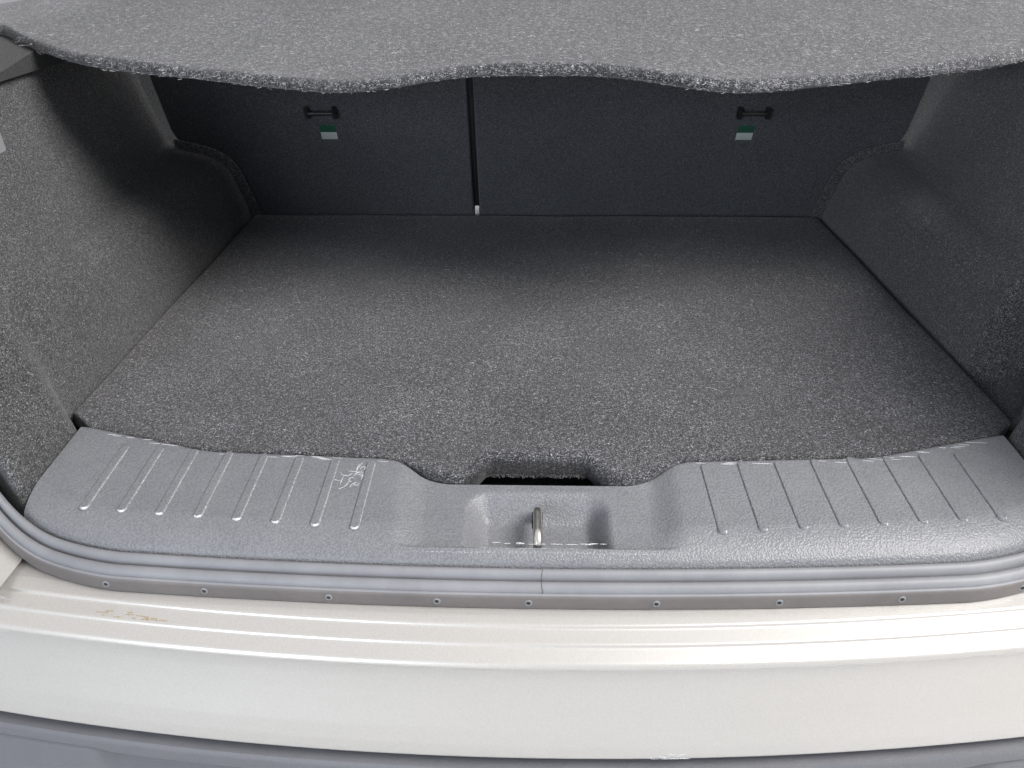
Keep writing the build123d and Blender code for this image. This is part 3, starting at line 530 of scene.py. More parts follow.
def joined(parts):
    """Several (points, faces) parts as one."""
    points, faces, total = [], [], 0
    for part_points, part_faces in parts:
        points.append(np.asarray(part_points, float).reshape(-1, 3))
        faces += [tuple(i + total for i in face) for face in part_faces]
        total += len(points[-1])
    return np.vstack(points), faces


def rounded_box(size, radius, parts=4):
    """Outline in plan of a rectangle with round corners, about the middle."""
    half_x, half_y = size[0] / 2 - radius, size[1] / 2 - radius
    outline = []
    centres = ((half_x, half_y), (-half_x, half_y), (-half_x, -half_y), (half_x, -half_y))
    for quarter, (cx, cy) in enumerate(centres):
        for t in np.linspace(0, math.pi / 2, parts + 1):
            angle = quarter * math.pi / 2 + t
            outline.append((cx + radius * math.cos(angle), cy + radius * math.sin(angle)))
    return np.array(outline)


def box_outline(size, grow, radius, parts, middle=(0, 0)):
    """A rounded rectangle grown by a distance on each side, about a point."""
    return rounded_box((size[0] + 2 * grow, size[1] + 2 * grow), radius, parts) + middle


def circle(radius, count=24):
    """Points of a circle about the middle."""
    angles = np.linspace(0, 2 * math.pi, count + 1)[:-1]
    return radius * np.column_stack([np.cos(angles), np.sin(angles)])


def settle(item, sharp):
    """Applies the modifiers, then shades smooth with hard edges over the angle."""
    graph = bpy.context.evaluated_depsgraph_get()
    mesh = bpy.data.meshes.new_from_object(item.evaluated_get(graph))
    item.modifiers.clear()
    item.data = mesh
    mesh.shade_smooth()
    mesh.set_sharp_from_angle(angle=math.radians(sharp))


def make_piece(name, points, faces, finish, slot, body="body_section", stands_for=(), wall=0.0, sharp=38,
               wear_and_painted_light=None, solid=False):
    """A piece of the object from points in millimetres, finished, and riding on its body.

    A sheet gets a wall on its inner side. A closed form is solid, and its faces are turned outwards. Edges
    over the sharp angle stay hard.
    """
    mesh = bpy.data.meshes.new(name)
    mesh.from_pydata((np.asarray(points, float).reshape(-1, 3) * MM).tolist(), [], faces)
    mesh.materials.append(finish)
    if solid:
        form = bmesh.new()
        form.from_mesh(mesh)
        bmesh.ops.recalc_face_normals(form, faces=form.faces)
        form.to_mesh(mesh)
        form.free()
    # The wear number marks real wear, and also painted highlight on the sill's ribs and painted shade in the
    # floor's scoop
    if wear_and_painted_light is not None:
        attribute = mesh.attributes.new("wear_and_painted_light", "FLOAT", "POINT")
        attribute.data.foreach_set("value", np.asarray(wear_and_painted_light, np.float32).ravel())
    item = bpy.data.objects.new(name, mesh)
    bpy.context.scene.collection.objects.link(item)
    if wall:
        thicken = item.modifiers.new("wall", "SOLIDIFY")
        thicken.thickness = wall * MM
        thicken.offset = -1
    settle(item, sharp)
    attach(item, body)
    if stands_for:
        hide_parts(*stands_for)
    print(name, "faces:", len(item.data.polygons))
    return item


# %% [markdown]
# ## Where the seal and the sill run
# Seen from above, the tail is bowed. The seal's rear edge is three arcs and two straight ends, and the
# sill trim's front edge steps back in the middle, in front of the finger slot. Other pieces start from
# these two lines, so they are functions of the distance from the car's middle.


# %% Lines in plan
def circle_through(a, b, c):
    """Centre and radius of the circle through three points."""
    (ax, ay), (bx, by), (cx, cy) = a, b, c
    d = 2 * (ax * (by - cy) + bx * (cy - ay) + cx * (ay - by))
    ux = ((ax**2 + ay**2) * (by - cy) + (bx**2 + by**2) * (cy - ay) + (cx**2 + cy**2) * (ay - by)) / d
    uy = ((ax**2 + ay**2) * (cx - bx) + (bx**2 + by**2) * (ax - cx) + (cx**2 + cy**2) * (bx - ax)) / d
    return (ux, uy), math.hypot(ax - ux, ay - uy)


BOW_END, CORNER_END = (366, -981), (512, -916)
BOW = circle_through((-366, -981), (0, -995), BOW_END)
CORNER = circle_through(BOW_END, (446, -958), CORNER_END)
SIDE_SLOPE = 198 / 208


def seal_rear(x):
    """Y of the seal's rear edge at a distance from the middle."""
    x = np.abs(np.asarray(x, float))
    bow = BOW[0][1] - np.sqrt(np.maximum(BOW[1]**2 - x**2, 0))
    corner = CORNER[0][1] - np.sqrt(np.maximum(CORNER[1]**2 - (x - CORNER[0][0])**2, 0))
    side = CORNER_END[1] + (x - CORNER_END[0]) * SIDE_SLOPE
    return np.where(x < BOW_END[0], bow, np.where(x < CORNER_END[0], corner, side))


SILL_EDGE = [(0, -872), (98, -872), (138, -845), (330, -836), (475, -796)]
EDGE_ROUNDING = 16


def sill_front(x):
    """Y of the sill trim's front edge, its corners rounded by averaging over a short width."""
    total = 0
    shifts = np.linspace(-EDGE_ROUNDING, EDGE_ROUNDING, 9)
    for shift in shifts:
        where = np.clip(np.abs(np.asarray(x, float) + shift), 0, SILL_EDGE[-1][0])
        total = total + np.interp(where, *np.transpose(SILL_EDGE))
    return total / len(shifts)


print("seal at the middle:", float(seal_rear(0)), "sill edge at 300:", round(float(sill_front(300)), 1))

# %% [markdown]
# ## Sill trim
# On the car this is one moulded cover over the body's rear sill. It has scuff ribs on both sides, a wide
# shallow recess in the middle, and in that a rounded pocket for the latch loop. Its rear edge rolls down
# to the seal. Every corner is rounded, so it is made as a height over a fine grid: each feature is a soft
# step that is added to the deck's slope. Booleans and bevels would give the same, with worse corners.

# %% Sill trim
SILL_HALF = 475
SILL_Z, SILL_SLOPE, SILL_Y = 134.0, 8 / 162, -796
ROLL_LENGTH, ROLL_DROP = 36, 13
EDGE_RADIUS = 3.2
UNDER_FLOOR, OVER_SEAL = 100.0, 24.3


def deck_height(y):
    """Height of the sill's deck before the recess is let into it."""
    return SILL_Z + (np.asarray(y, float) - SILL_Y) * SILL_SLOPE


columns = np.linspace(-SILL_HALF, SILL_HALF, 476)
from_front = np.array([0.0, 0.4, 1.2, 2.4, 4.0])
from_rear = np.array([0.0, 1.0, 2.2, 3.6, 5.2, 7.0])
front_y = sill_front(columns)
rear_y = seal_rear(columns) + OVER_SEAL
share = np.linspace(0, 1, 74)[:, None]
middle_rows = (front_y - 6) + ((rear_y + 9) - (front_y - 6)) * share
y = np.vstack([front_y - from_front[:, None], middle_rows, rear_y + from_rear[::-1][:, None]])
x = np.broadcast_to(columns, y.shape)
z = deck_height(y)
roll = 1 - np.clip((y - rear_y) / ROLL_LENGTH, 0, 1)
z = z - ROLL_DROP * (0.5 * roll**1.25 + 0.5 * roll**3) - 2.5 * smooth_step(roll, 0.9, 1.0)
edge = np.clip(EDGE_RADIUS - (front_y - y), 0, EDGE_RADIUS)
z = z - (EDGE_RADIUS - np.sqrt(EDGE_RADIUS**2 - edge**2 * 0.98))
print("deck points:", z.size)

# %% Recess and striker pocket
RECESS_HALF, RECESS_TAPER, RECESS_FRONT, RECESS_REAR, RECESS_FLOOR = 138, 8, -845, -958, 122
POCKET_HALF, POCKET_FRONT, POCKET_REAR, POCKET_DROP = 68, -880, -955, 20

recess_half = RECESS_HALF - RECESS_TAPER * ramp_up(RECESS_FRONT - y, RECESS_FRONT - RECESS_REAR)
depth = hollowed(ramp_up(recess_half - np.abs(x), 32), ramp_up(y - RECESS_REAR, 4.5))
recess_floor = RECESS_FLOOR + np.clip((y + 850) * 0.05, -6, 0)
z = z + (np.minimum(recess_floor, z) - z) * depth
along = np.minimum(ramp_up(POCKET_FRONT - y, 27), ramp_up(y - POCKET_REAR, 4))
z = z - POCKET_DROP * hollowed(ramp_up(POCKET_HALF - np.abs(x), 24), along)

# %% Sill's worn edges, skirt and mesh
# Y of the two rubbed lines behind the recess, and half their length
RUBBED_LINE, RUBBED_LIP = (-961, 129), (-957, 50)
# Half width, rear and front of the openings for the striker's legs
LEG_OPENINGS = ((9, -953, -940), (6, -909, -895))
SKIRT_Z = 108
wear_and_painted_light = 0.6 * ridge(front_y - y, 1.6) * (np.abs(x) > 120)
wear_and_painted_light = np.maximum(wear_and_painted_light, 0.58 * ridge(y - RUBBED_LINE[0], 1.5) * (np.abs(x) < RUBBED_LINE[1]))
wear_and_painted_light = np.maximum(wear_and_painted_light, 0.66 * ridge(y - RUBBED_LIP[0], 1.8) * (np.abs(x) < RUBBED_LIP[1]))
z_front, z_rear = np.full_like(columns, UNDER_FLOOR), z[-1] - 14
rows_z = np.vstack([z_front, z, z_rear])
rows_y = np.vstack([y[0], y, y[-1] - 0.2])
points = np.stack([np.broadcast_to(columns, rows_y.shape), rows_y, rows_z], axis=-1)
left, right = points[:, :1].copy(), points[:, -1:].copy()
left[..., 2] = np.minimum(left[..., 2], SKIRT_Z)
right[..., 2] = np.minimum(right[..., 2], SKIRT_Z)
points = np.concatenate([left, points, right], axis=1)
wear_and_painted_light = np.pad(np.vstack([wear_and_painted_light[:1], wear_and_painted_light, wear_and_painted_light[-1:]]), ((0, 0), (1, 1)))
rows, count = points.shape[:2]
flat = points.reshape(-1, 3)
faces = []
for face in grid_faces(rows, count):
    middle_x, middle_y = flat[list(face)].mean(axis=0)[:2]
    if not any(abs(middle_x) < half and rear < middle_y < front for half, rear, front in LEG_OPENINGS):
        faces.append(face[::-1])
make_piece("sill_cover", points, faces, sill_plastic, "trim_plastic", stands_for=["sill_trim"], wall=2.5,
           wear_and_painted_light=wear_and_painted_light)

# %% [markdown]
# ## Scuff ribs
# Eight low ribs on each side take the scratches when luggage slides over the sill. They are moulded with
# the cover, about 1.2 mm high and 8 mm wide with round ends. Their edges are crisp and under 1 mm, too fine
# for the deck's grid, so the ribs are their own mesh that rises out of the deck. Plastic turns white where
# it is rubbed, so the wear number is high at the ends that luggage meets first. The same number also
# paints highlights on the sides that face the light: a pale line along each left rib's right edge, and on
# the right ribs only the right half of the end is pale.

# %% Scuff ribs
RIB_X, RIB_PITCH, RIB_COUNT, RIB_Y, RIB_STAGGER = 162, 36, 8, -896, 3.0
RIB_LENGTH, RIB_WIDTH, RIB_HEIGHT = 92, 8.0, 1.3
# Grown outline, height over the deck
RIB_SECTION = [(0.9, -1.0), (0.35, 0.1), (0.0, 0.75), (-0.35, 1.15), (-0.9, RIB_HEIGHT), (-1.6, RIB_HEIGHT)]
parts, wear_and_painted_light = [], []
for side in (-1, 1):
    for index in range(RIB_COUNT):
        rib_x, rib_y = side * (RIB_X + index * RIB_PITCH), RIB_Y + index * RIB_STAGGER
        rings = []
        for grow, height in RIB_SECTION:
            outline = box_outline((RIB_WIDTH, RIB_LENGTH), grow, RIB_WIDTH / 2 + grow - 0.01, 7)
            across, along = outline.T
            rings.append(np.column_stack([across + rib_x, along + rib_y, deck_height(along + rib_y) + height]))
            rubbed_and_highlit = smooth_step(-along, RIB_LENGTH / 2 - 5, RIB_LENGTH / 2)
            # Painted highlight on the sides that face the light: each left rib's right edge, and only the right
            # half of each right rib's end
            if side < 0:
                rubbed_and_highlit = np.maximum(rubbed_and_highlit, 0.66 * smooth_step(across, RIB_WIDTH / 2 - 1.5, RIB_WIDTH / 2))
            else:
                rubbed_and_highlit = rubbed_and_highlit * smooth_step(across, 0, 3)
            wear_and_painted_light.append(rubbed_and_highlit * (0.9 if -0.5 < grow < 0.4 else 0.25))
        parts.append(stacked_rings(rings))
make_piece("sill_scuff_ribs", *joined(parts), sill_plastic, "trim_plastic", wear_and_painted_light=np.concatenate(wear_and_painted_light),
           solid=True)

# %% [markdown]
# ## Load floor
# A board wrapped in needle felt. Felt can't turn a sharp corner, so the edge rolls down over a few
# millimetres, and the rear edge dips into a scoop where fingers reach under the board to lift it.
# It is a grid as well, with the felt's slight unevenness added as long soft waves. Down in the scoop the felt
# is painted darker, as shade.

# %% Load floor
BOARD_HALF, BOARD_FRONT, BOARD_TOP, BOARD_LOW = 504, -121, 130.0, 111.0
SCOOP_FRONT, SCOOP_REAR, SCOOP_NARROW, SCOOP_WIDE, SCOOP_DROP = -831, -870, 50, 80, 15
GRIP_NARROW, GRIP_WIDE, GRIP_Y = 50, 62, -847
CORNER_Y, EDGE_ROUND = -792, 4.5


def board_rear(x):
    """Y of the board's rear edge: along the sill, with corners cut off and a slot for the fingers."""
    line = sill_front(x) + 2.5
    size = np.abs(x)
    line = np.where(size > SILL_HALF - 2, CORNER_Y + (size - SILL_HALF + 2) * 0.9, line)
    grip = 1 - np.clip((size - GRIP_NARROW) / (GRIP_WIDE - GRIP_NARROW), 0, 1)
    return line + (GRIP_Y - line) * grip


columns = np.unique(np.concatenate([np.linspace(-BOARD_HALF, BOARD_HALF, 203), np.linspace(-94, 94, 141)]))
rear = board_rear(columns)
near = np.array([0, 0.5, 1.2, 2.2, 3.4, 4.8, 6.4, 8, 10, 12, 14, 16, 18, 20, 23, 26, 30, 35, 41, 48])
far = np.array([0, 0.5, 1.2, 2.2, 3.4, 4.8])
share = np.linspace(0, 1, 88)[:, None]
y = np.vstack([BOARD_FRONT - far[:, None] * np.ones_like(rear),
               (BOARD_FRONT - 12) + ((rear + 58) - (BOARD_FRONT - 12)) * share, rear + near[::-1][:, None]])
x = np.broadcast_to(columns, y.shape)
z = BOARD_TOP + 0.35 * np.sin(x / 71 + y / 53) + 0.3 * np.sin(x / 37 - y / 61 + 1.3)

# The scoop slopes down from a straight front edge and two splayed side edges
run, rise = SCOOP_WIDE - SCOOP_NARROW, SCOOP_FRONT - SCOOP_REAR
beside = ((SCOOP_WIDE - np.abs(x)) * rise - (y - SCOOP_REAR) * run) / math.hypot(run, rise)
inside = np.minimum(beside, SCOOP_FRONT - y)
slope = np.where(inside < 3, np.maximum(inside, 0)**2 / 6, inside - 1.5)
z = z - np.minimum(slope, SCOOP_DROP)
inside = np.minimum(BOARD_HALF - np.abs(x), np.minimum(y - rear, BOARD_FRONT - y))
rim = np.clip(EDGE_ROUND - inside, 0, EDGE_ROUND)
z = z - (EDGE_ROUND - np.sqrt(EDGE_ROUND**2 - rim**2 * 0.96))
# Painted shade in the scoop: the felt gets darker the deeper it goes into the hollow
trodden_patches_and_painted_shade = smooth_step(slope, 2, 9) * 0.75
top = np.stack([x, y, z], axis=-1)
points = np.pad(top, ((1, 1), (1, 1), (0, 0)), mode="edge")
skirt = np.ones(points.shape[:2], bool)
skirt[1:-1, 1:-1] = False
points[skirt, 2] = BOARD_LOW
rows, count = points.shape[:2]
make_piece("carpeted_board", points, [f[::-1] for f in grid_faces(rows, count)], floor_carpet, "floor_carpet",
           body="floor_board", stands_for=["load_floor"], wall=3.0, wear_and_painted_light=np.pad(trodden_patches_and_painted_shade, 1, mode="edge"))

# %% [markdown]
# ## Seal
# The tailgate seal is pushed over the flange of the opening. It has a steel-cored carrier behind and two
# hollow sponge beads in front, which the tailgate presses flat. One section runs the whole way round,
# so it is swept along the opening's outline. The section is in its own two directions: forward, and
# inward from the outline's edge.

# %% Seal
SECTION = [(0.2, -11.5), (0.2, -6), (0.2, 0.5), (-0.3, 2.0), (0.3, 3.3), (1.5, 3.6), (2.2, 3.2), (2.6, 5.2),
           (3.8, 7.6), (5.8, 9.0), (7.8, 9.3), (9.8, 8.8), (11.6, 7.2), (12.4, 5.0), (12.9, 4.0), (13.4, 6.0),
           (13.9, 9.0), (15.2, 11.7), (17.2, 13.3), (19.2, 13.6), (21.3, 12.6), (22.9, 10.4), (23.7, 7.2),
           (23.8, 2.0), (23.8, -11.5)]
FOOT_Z, SEAL_HALF, SEAL_TOP_HALF, SEAL_TOP, SEAL_CORNER = 100, 560, 592, 480, 130


def opening_outline():
    """Points round the opening in X and Z from left to right, each with its inward direction."""
    half = []
    centre_x, centre_z = SEAL_HALF - SEAL_CORNER, FOOT_Z + SEAL_CORNER
    for px in np.linspace(0, centre_x, 70):
        half.append((px, FOOT_Z, 0, 1))
    for angle in np.linspace(0, math.pi / 2, 28)[1:]:
        sx, cx = math.sin(angle), math.cos(angle)
        half.append((centre_x + SEAL_CORNER * sx, centre_z - SEAL_CORNER * cx, -sx, cx))
    lean = math.atan2(SEAL_TOP_HALF - SEAL_HALF, SEAL_TOP - centre_z)
    for t in np.linspace(0, 1, 16)[1:]:
        half.append((SEAL_HALF + (SEAL_TOP_HALF - SEAL_HALF) * t, centre_z + (SEAL_TOP - centre_z) * t,
                     -math.cos(lean), math.sin(lean)))
    left = [(-px, pz, -nx, nz) for px, pz, nx, nz in half[:0:-1]]
    return np.array(left + half)


outline = opening_outline()
section = np.array(SECTION)
x, z = np.moveaxis(outline[:, None, :2] + outline[:, None, 2:] * section[None, :, 1:], -1, 0)
y = seal_rear(x) + section[None, :, 0]
points, faces = stacked_rings(np.stack([x, y, z], axis=-1))
# A pale scuff lies in the groove between the beads, on the left
along = np.broadcast_to(outline[:, None, 0], x.shape)
in_groove = ridge(section[None, :, 0] - 12.6, 0.9) * ((along > -470) & (along < -250))
make_piece("tailgate_seal_beads", points, faces, seal_rubber, "seal_rubber", stands_for=["tailgate_seal"],
           wear_and_painted_light=0.8 * in_groove, sharp=60, solid=True)

# %% [markdown]
# ## Seal's carrier
# Behind the beads a strip of harder rubber grips the body's flange. It is browner than the sponge, and
# plastic pins hold it every 100 mm or so: each shows as a pale washer round a black disc, painted shade
# for its hole. The strip's ends meet near the middle of the sill, where the beads have a butt joint too.

# %% Seal's carrier and pins
PIN_X = [-373, -285, -177, -85, -8, 99, 202, 306, 414]
CARRIER = [(-0.9, -11.6), (-1.1, -10.6), (-1.1, -0.6), (-0.9, 1.2), (-0.2, 2.4), (0.8, 2.9), (1.4, 2.0),
           (1.4, -11.6)]
section = np.array(CARRIER)
x, z = np.moveaxis(outline[:, None, :2] + outline[:, None, 2:] * section[None, :, 1:], -1, 0)
y = seal_rear(x) + section[None, :, 0]
points, faces = stacked_rings(np.stack([x, y, z], axis=-1))
make_piece("seal_carrier", points, faces, carrier_rubber, "seal_rubber", sharp=50, solid=True)

# Each pin is a pale washer with a black disc sunk in it: painted shade for the pin's hole
washers, holes = [], []
for pin_x in PIN_X:
    pin_y, pin_z = float(seal_rear(pin_x)) - 1.1, 95.5
    for parts, profile in ((washers, [(3.4, 0.3), (3.2, -0.5), (2.4, -0.9), (1.7, -0.6)]),
                           (holes, [(1.9, -0.3), (1.9, -0.62), (1.2, -0.68)])):
        parts.append(stacked_rings([[(pin_x + px, pin_y + out, pin_z + pz) for px, pz in circle(size, 20)]
                                    for size, out in profile]))
make_piece("seal_pin_washers", *joined(washers), pale_plastic, "seal_rubber", solid=True)
make_piece("seal_pin_holes", *joined(holes), black_plastic, "seal_rubber", solid=True)

# %% Butt joint in the beads
SEAM_X = 3.5
section = np.array(SECTION)[5:-2]
middle = section.mean(axis=0)
grown = section + (section - middle) / np.linalg.norm(section - middle, axis=1)[:, None] * 0.25
path = [(SEAM_X + 0.6 * math.sin(k), float(seal_rear(SEAM_X)) + forward, FOOT_Z + up)
        for k, (forward, up) in enumerate(grown)]
make_piece("seal_butt_joint", *tube(path, 0.45, 6), carrier_rubber, "seal_rubber", solid=True)

# %% [markdown]
# ## Painted bumper
# The bumper's skin wraps round the tail. Its upper edge is a loading ledge in small steps, which show as
# bright and dark lines in the paint. Each level of the section is one line round the tail in plan, and the
# grid joins the levels. Corners between levels are rounded first, because a real pressing or moulding has
# no sharp edge, and the rounded edge is what catches the light.

# %% Painted bumper
BOW_RADIUS = 3200
COVER_HALF, COVER_REAR, COVER_CORNER, COVER_FRONT = 894, -1043, 270, -604
# Height, set in at the rear, set in at the sides
COVER_STEPS = [(-34, 30, 26), (-34, -9, 9), (-22, -17, 4), (-8, -16, 3), (8, -12, 2), (24, -6.5, 1),
               (40, -1.5, 1), (54, 2.2, 1.5), (64, 3.6, 2), (68, 2, 1), (70, -0.6, 0), (74.5, 2, 3),
               (78.4, 15, 14), (80.8, 16.2, 15.5), (83.4, 30, 30), (86, 31.5, 31.5), (87.7, 45, 45)]
# Outside the pillars the ledge ends at the body side
PILLAR_X, SIDE_TOP = 657, 83.3


def bow_y(x, rear):
    """Y of the tail's bow at a distance from the middle."""
    return rear + BOW_RADIUS - np.sqrt(BOW_RADIUS**2 - np.asarray(x, float)**2)


def tail_line(half, rear, corner, front, spread=(10, 14, 60)):
    """A line round the tail in plan, from the left side's front end to the right side's."""
    corner_x = (half - corner) / (1 - corner / BOW_RADIUS)
    corner_y = float(bow_y(corner_x, rear))
    start = math.asin(corner_x / BOW_RADIUS)
    centre_x, centre_y = corner_x - corner * math.sin(start), corner_y + corner * math.cos(start)
    side, turn, bow = spread
    line = [(half, y) for y in np.linspace(front, centre_y, side)[:-1]]
    for angle in np.linspace(0, math.pi / 2 - start, turn)[:-1]:
        line.append((centre_x + corner * math.cos(angle), centre_y - corner * math.sin(angle)))
    for angle in np.linspace(start, 0, bow // 2):
        line.append((BOW_RADIUS * math.sin(angle), rear + BOW_RADIUS - BOW_RADIUS * math.cos(angle)))
    line = np.array(line)
    mirrored = line[:-1] * (-1, 1)
    return np.vstack([mirrored, line[::-1]])


def round_corners(steps, radius, parts=4):
    """Replaces each corner of a section by a short curve."""
    steps = np.array(steps, float)
    rounded = [steps[0]]
    for before, here, after in zip(steps, steps[1:], steps[2:]):
        reach_in = min(radius, np.linalg.norm(before - here) * 0.45)
        reach_out = min(radius, np.linalg.norm(after - here) * 0.45)
        start = here + (before - here) / np.linalg.norm(before - here) * reach_in
        end = here + (after - here) / np.linalg.norm(after - here) * reach_out
        for t in np.linspace(0, 1, parts + 1):
            rounded.append((1 - t)**2 * start + 2 * t * (1 - t) * here + t**2 * end)
    return np.array(rounded + [steps[-1]])


levels = []
for height, rear_in, side_in in round_corners(COVER_STEPS, 2.4):
    line = tail_line(COVER_HALF - side_in, COVER_REAR + rear_in, COVER_CORNER - side_in, COVER_FRONT)
    high = np.where(np.abs(line[:, 0]) > PILLAR_X, np.minimum(height, SIDE_TOP), height)
    levels.append(np.column_stack([line, high]))
points = np.array(levels)
rows, count = points.shape[:2]
make_piece("painted_bumper_skin", points, grid_faces(rows, count), body_paint, "body_paint",
           stands_for=["bumper_cover"], wall=3.0, sharp=50)

# %% [markdown]
# ## Body sides
# Each side is one deep pressing. Its skin is a smooth surface through a few sections, with a soft crease at
# the shoulder, and it stops at the wheel arch, the tailgate opening and the bumper. The CAD has flat runs
# between the same sections, which show as facets in paint. So a thin skin that passes smoothly through the
# sections lies over the CAD panel, 1 mm proud, and the panel stays under it with its inner faces.

# %% Surfaces round the tail
# Height, half width, rear, corner
BODY_SECTIONS = np.array([(-60, 884, -1028, 270), (150, 897, -1020, 270), (335, 890, -1002, 264),
                          (480, 846, -958, 248)])
LOWER_SECTIONS = np.array([(-330, 852, -992, 250), (-262, 874, -1040, 262), (-120, 899, -1078, 270),
                           (-58, 898, -1067, 270), (-34, 896, -1065, 268)])


def level_of(sections, height):
    """Half width, rear and corner of a body at one height."""
    return [float(smooth_curve(sections[:, (0, k)], np.array([float(height)]))[0]) for k in (1, 2, 3)]


def surface_patch(sections, heights, from_x, count, to_y, front=300):
    """Points and outward directions of the right half's surface: a row a height, from the middle outwards.

    A row starts at from_x and ends at to_y. Front is where the line round the tail begins.
    """
    points, outward = [], []
    for index, height in enumerate(heights):
        half, rear, corner = level_of(sections, height)
        line = tail_line(half, rear, corner, front, spread=(70, 50, 160))
        line = line[len(line) // 2:]
        run = np.concatenate([[0], np.cumsum(np.linalg.norm(np.diff(line, axis=0), axis=1))])
        start = np.interp(from_x[index], line[:, 0], run)
        end = np.interp(to_y[index], line[:, 1], run)
        at = np.linspace(start, end, count)
        row = np.column_stack([np.interp(at, run, line[:, 0]), np.interp(at, run, line[:, 1])])
        along = np.gradient(row, axis=0)
        along /= np.linalg.norm(along, axis=1)[:, None]
        points.append(np.column_stack([row, np.full(count, float(height))]))
        outward.append(np.column_stack([along[:, 1], -along[:, 0], np.zeros(count)]))
    return np.array(points), np.array(outward)


def both_sides(name, points, finish, slot, **options):
    """One grid as two pieces, for the right and, mirrored, for the left."""
    rows, count = points.shape[:2]
    faces = grid_faces(rows, count)
    stands_for = options.pop("stands_for", [])
    pieces = []
    for side, label in ((1, "right"), (-1, "left")):
        turned = faces if side > 0 else [face[::-1] for face in faces]
        pieces.append(make_piece(f"{name}_{label}", points * (side, 1, 1), turned, finish, slot,
                                 stands_for=[f"{node_name}_{label}" for node_name in stands_for], **options))
    return pieces


# %% Side skin above the bumper
ARCH_Y, ARCH_Z, ARCH_RADIUS = -220, -260, 390
SKIN_LOW, SKIN_TOP, SKIN_LIFT, OVER_ARCH = 85, 480, 1.2, 5
SHOULDER_Z, SHOULDER_END, CREASE = 352, 440, 2.4
OPENING_MIDDLE, OPENING_RADIUS, OPENING_TURN, OPENING_SLOPE = 430, 142.5, 230, 32 / 250
INNER_X, BEHIND_WHEEL_Y, SKIRT_LOW = 446, -597.0, -60


def proud(z):
    """How far the skin stands off the CAD's sections: its lift, and a soft crease at the shoulder."""
    below = smooth_step(z, SHOULDER_Z - 30, SHOULDER_Z)
    return SKIN_LIFT + CREASE * (below - smooth_step(z, SHOULDER_Z, SHOULDER_END))


def opening_x(z):
    """The tailgate opening's edge in the painted pillar."""
    up = np.asarray(z, float) - OPENING_TURN
    lower = OPENING_MIDDLE + np.sqrt(np.maximum(OPENING_RADIUS**2 - up**2, 0))
    return np.where(up < 0, lower, OPENING_MIDDLE + OPENING_RADIUS + up * OPENING_SLOPE)


def door_y(z):
    """The edge towards the rear door leans forward as it comes down."""
    return np.interp(z, [40, 250, 480], [234, 174, 139])


heights = np.linspace(SKIN_LOW, SKIN_TOP, 80)
inner_x = np.maximum(opening_x(heights), INNER_X)
dense, outward = surface_patch(BODY_SECTIONS, heights, inner_x, 150, door_y(heights))
rows = []
for share in np.linspace(0, 1, 44):
    row = []
    for column in range(dense.shape[1]):
        y, z = dense[:, column, 1], heights
        inside = (y - ARCH_Y)**2 + (z - ARCH_Z)**2 < ARCH_RADIUS**2
        low_z = SKIN_LOW if dense[0, column, 0] > PILLAR_X else SKIN_LOW + 2
        if inside.any():
            low_z = z[inside].max() + OVER_ARCH
        level = low_z + (SKIN_TOP - low_z) * share
        middle, toward = (np.array([np.interp(level, z, grid[:, column, k]) for k in range(3)])
                          for grid in (dense, outward))
        row.append(middle + proud(level) * toward)
    rows.append(row)
points = np.array(rows)
top, toward = points[-1], outward[-1]
belt = [top + toward * inward + (0, 0, up) for inward, up in ((-0.6, 0.8), (-2.6, 1.4), (-8, 1.6), (-58, 1.6))]
points = np.concatenate([points, belt])
both_sides("body_side_skin", points, body_paint, "body_paint", sharp=50)

# %% Side skin in front of and behind the wheel, down to the sill
heights = np.linspace(SKIRT_LOW, SKIN_LOW, 30)
reach = np.sqrt(ARCH_RADIUS**2 - (heights - ARCH_Z)**2)
half = np.array([level_of(BODY_SECTIONS, z)[0] for z in heights]) + SKIN_LIFT
for name, from_y, to_y in (("behind_wheel", np.full(30, BEHIND_WHEEL_Y), ARCH_Y - reach),
                           ("ahead_of_wheel", ARCH_Y + reach, door_y(heights))):
    y = np.linspace(from_y, to_y, 12, axis=1)
    points = np.stack([half[:, None] + 0 * y, y, heights[:, None] + 0 * y], axis=-1)
    both_sides(f"body_side_skin_{name}", points, body_paint, "body_paint", sharp=50)

# %% [markdown]
# ## Fuel flap
# A small door in the right side over the filler. What shows is its gap and a very slightly crowned panel,
# so the gap is a thin dark band and the door a stack of outlines that rise to the middle.


# %% Fuel flap
def on_side(outline, lift):
    """An outline in y and z laid on the right side's skin."""
    half = np.array([level_of(BODY_SECTIONS, z)[0] for z in outline[:, 1]])
    return np.column_stack([half + proud(outline[:, 1]) + lift, outline])


FLAP_MIDDLE, FLAP_SIZE, FLAP_RADIUS = (-400, 262), (150, 140), 30


def flap_rings(profile):
    """Outlines of the flap, grown and lifted."""
    return [on_side(box_outline(FLAP_SIZE, grow, max(FLAP_RADIUS + grow, 6), 7, FLAP_MIDDLE), lift)
            for grow, lift in profile]


rings = flap_rings(((2.4, 0.1), (2.4, 0.3), (-1, 0.3), (-1, 0.1)))
faces = grid_faces(len(rings), len(rings[0]), closed=True)
make_piece("fuel_flap_gap", rings, faces, door_rubber, "seal_rubber")
rings = flap_rings(((0, 0), (0, 0.7), (-1.2, 1.1), (-12, 1.2), (-30, 1.2), (-50, 1.2)))
make_piece("fuel_flap", *stacked_rings(rings), body_paint, "body_paint", solid=True, sharp=60)

# %% [markdown]
# ## Tail lamps
# Each lamp wraps the corner: a red lens with an amber and a clear field below, let into the body with a
# thin black gasket. Behind the clear acrylic the optic shows as fine ribs, which are in the material. The
# lens is a patch of the same body surface, proud by 3 mm, whose edges roll down to the gasket.

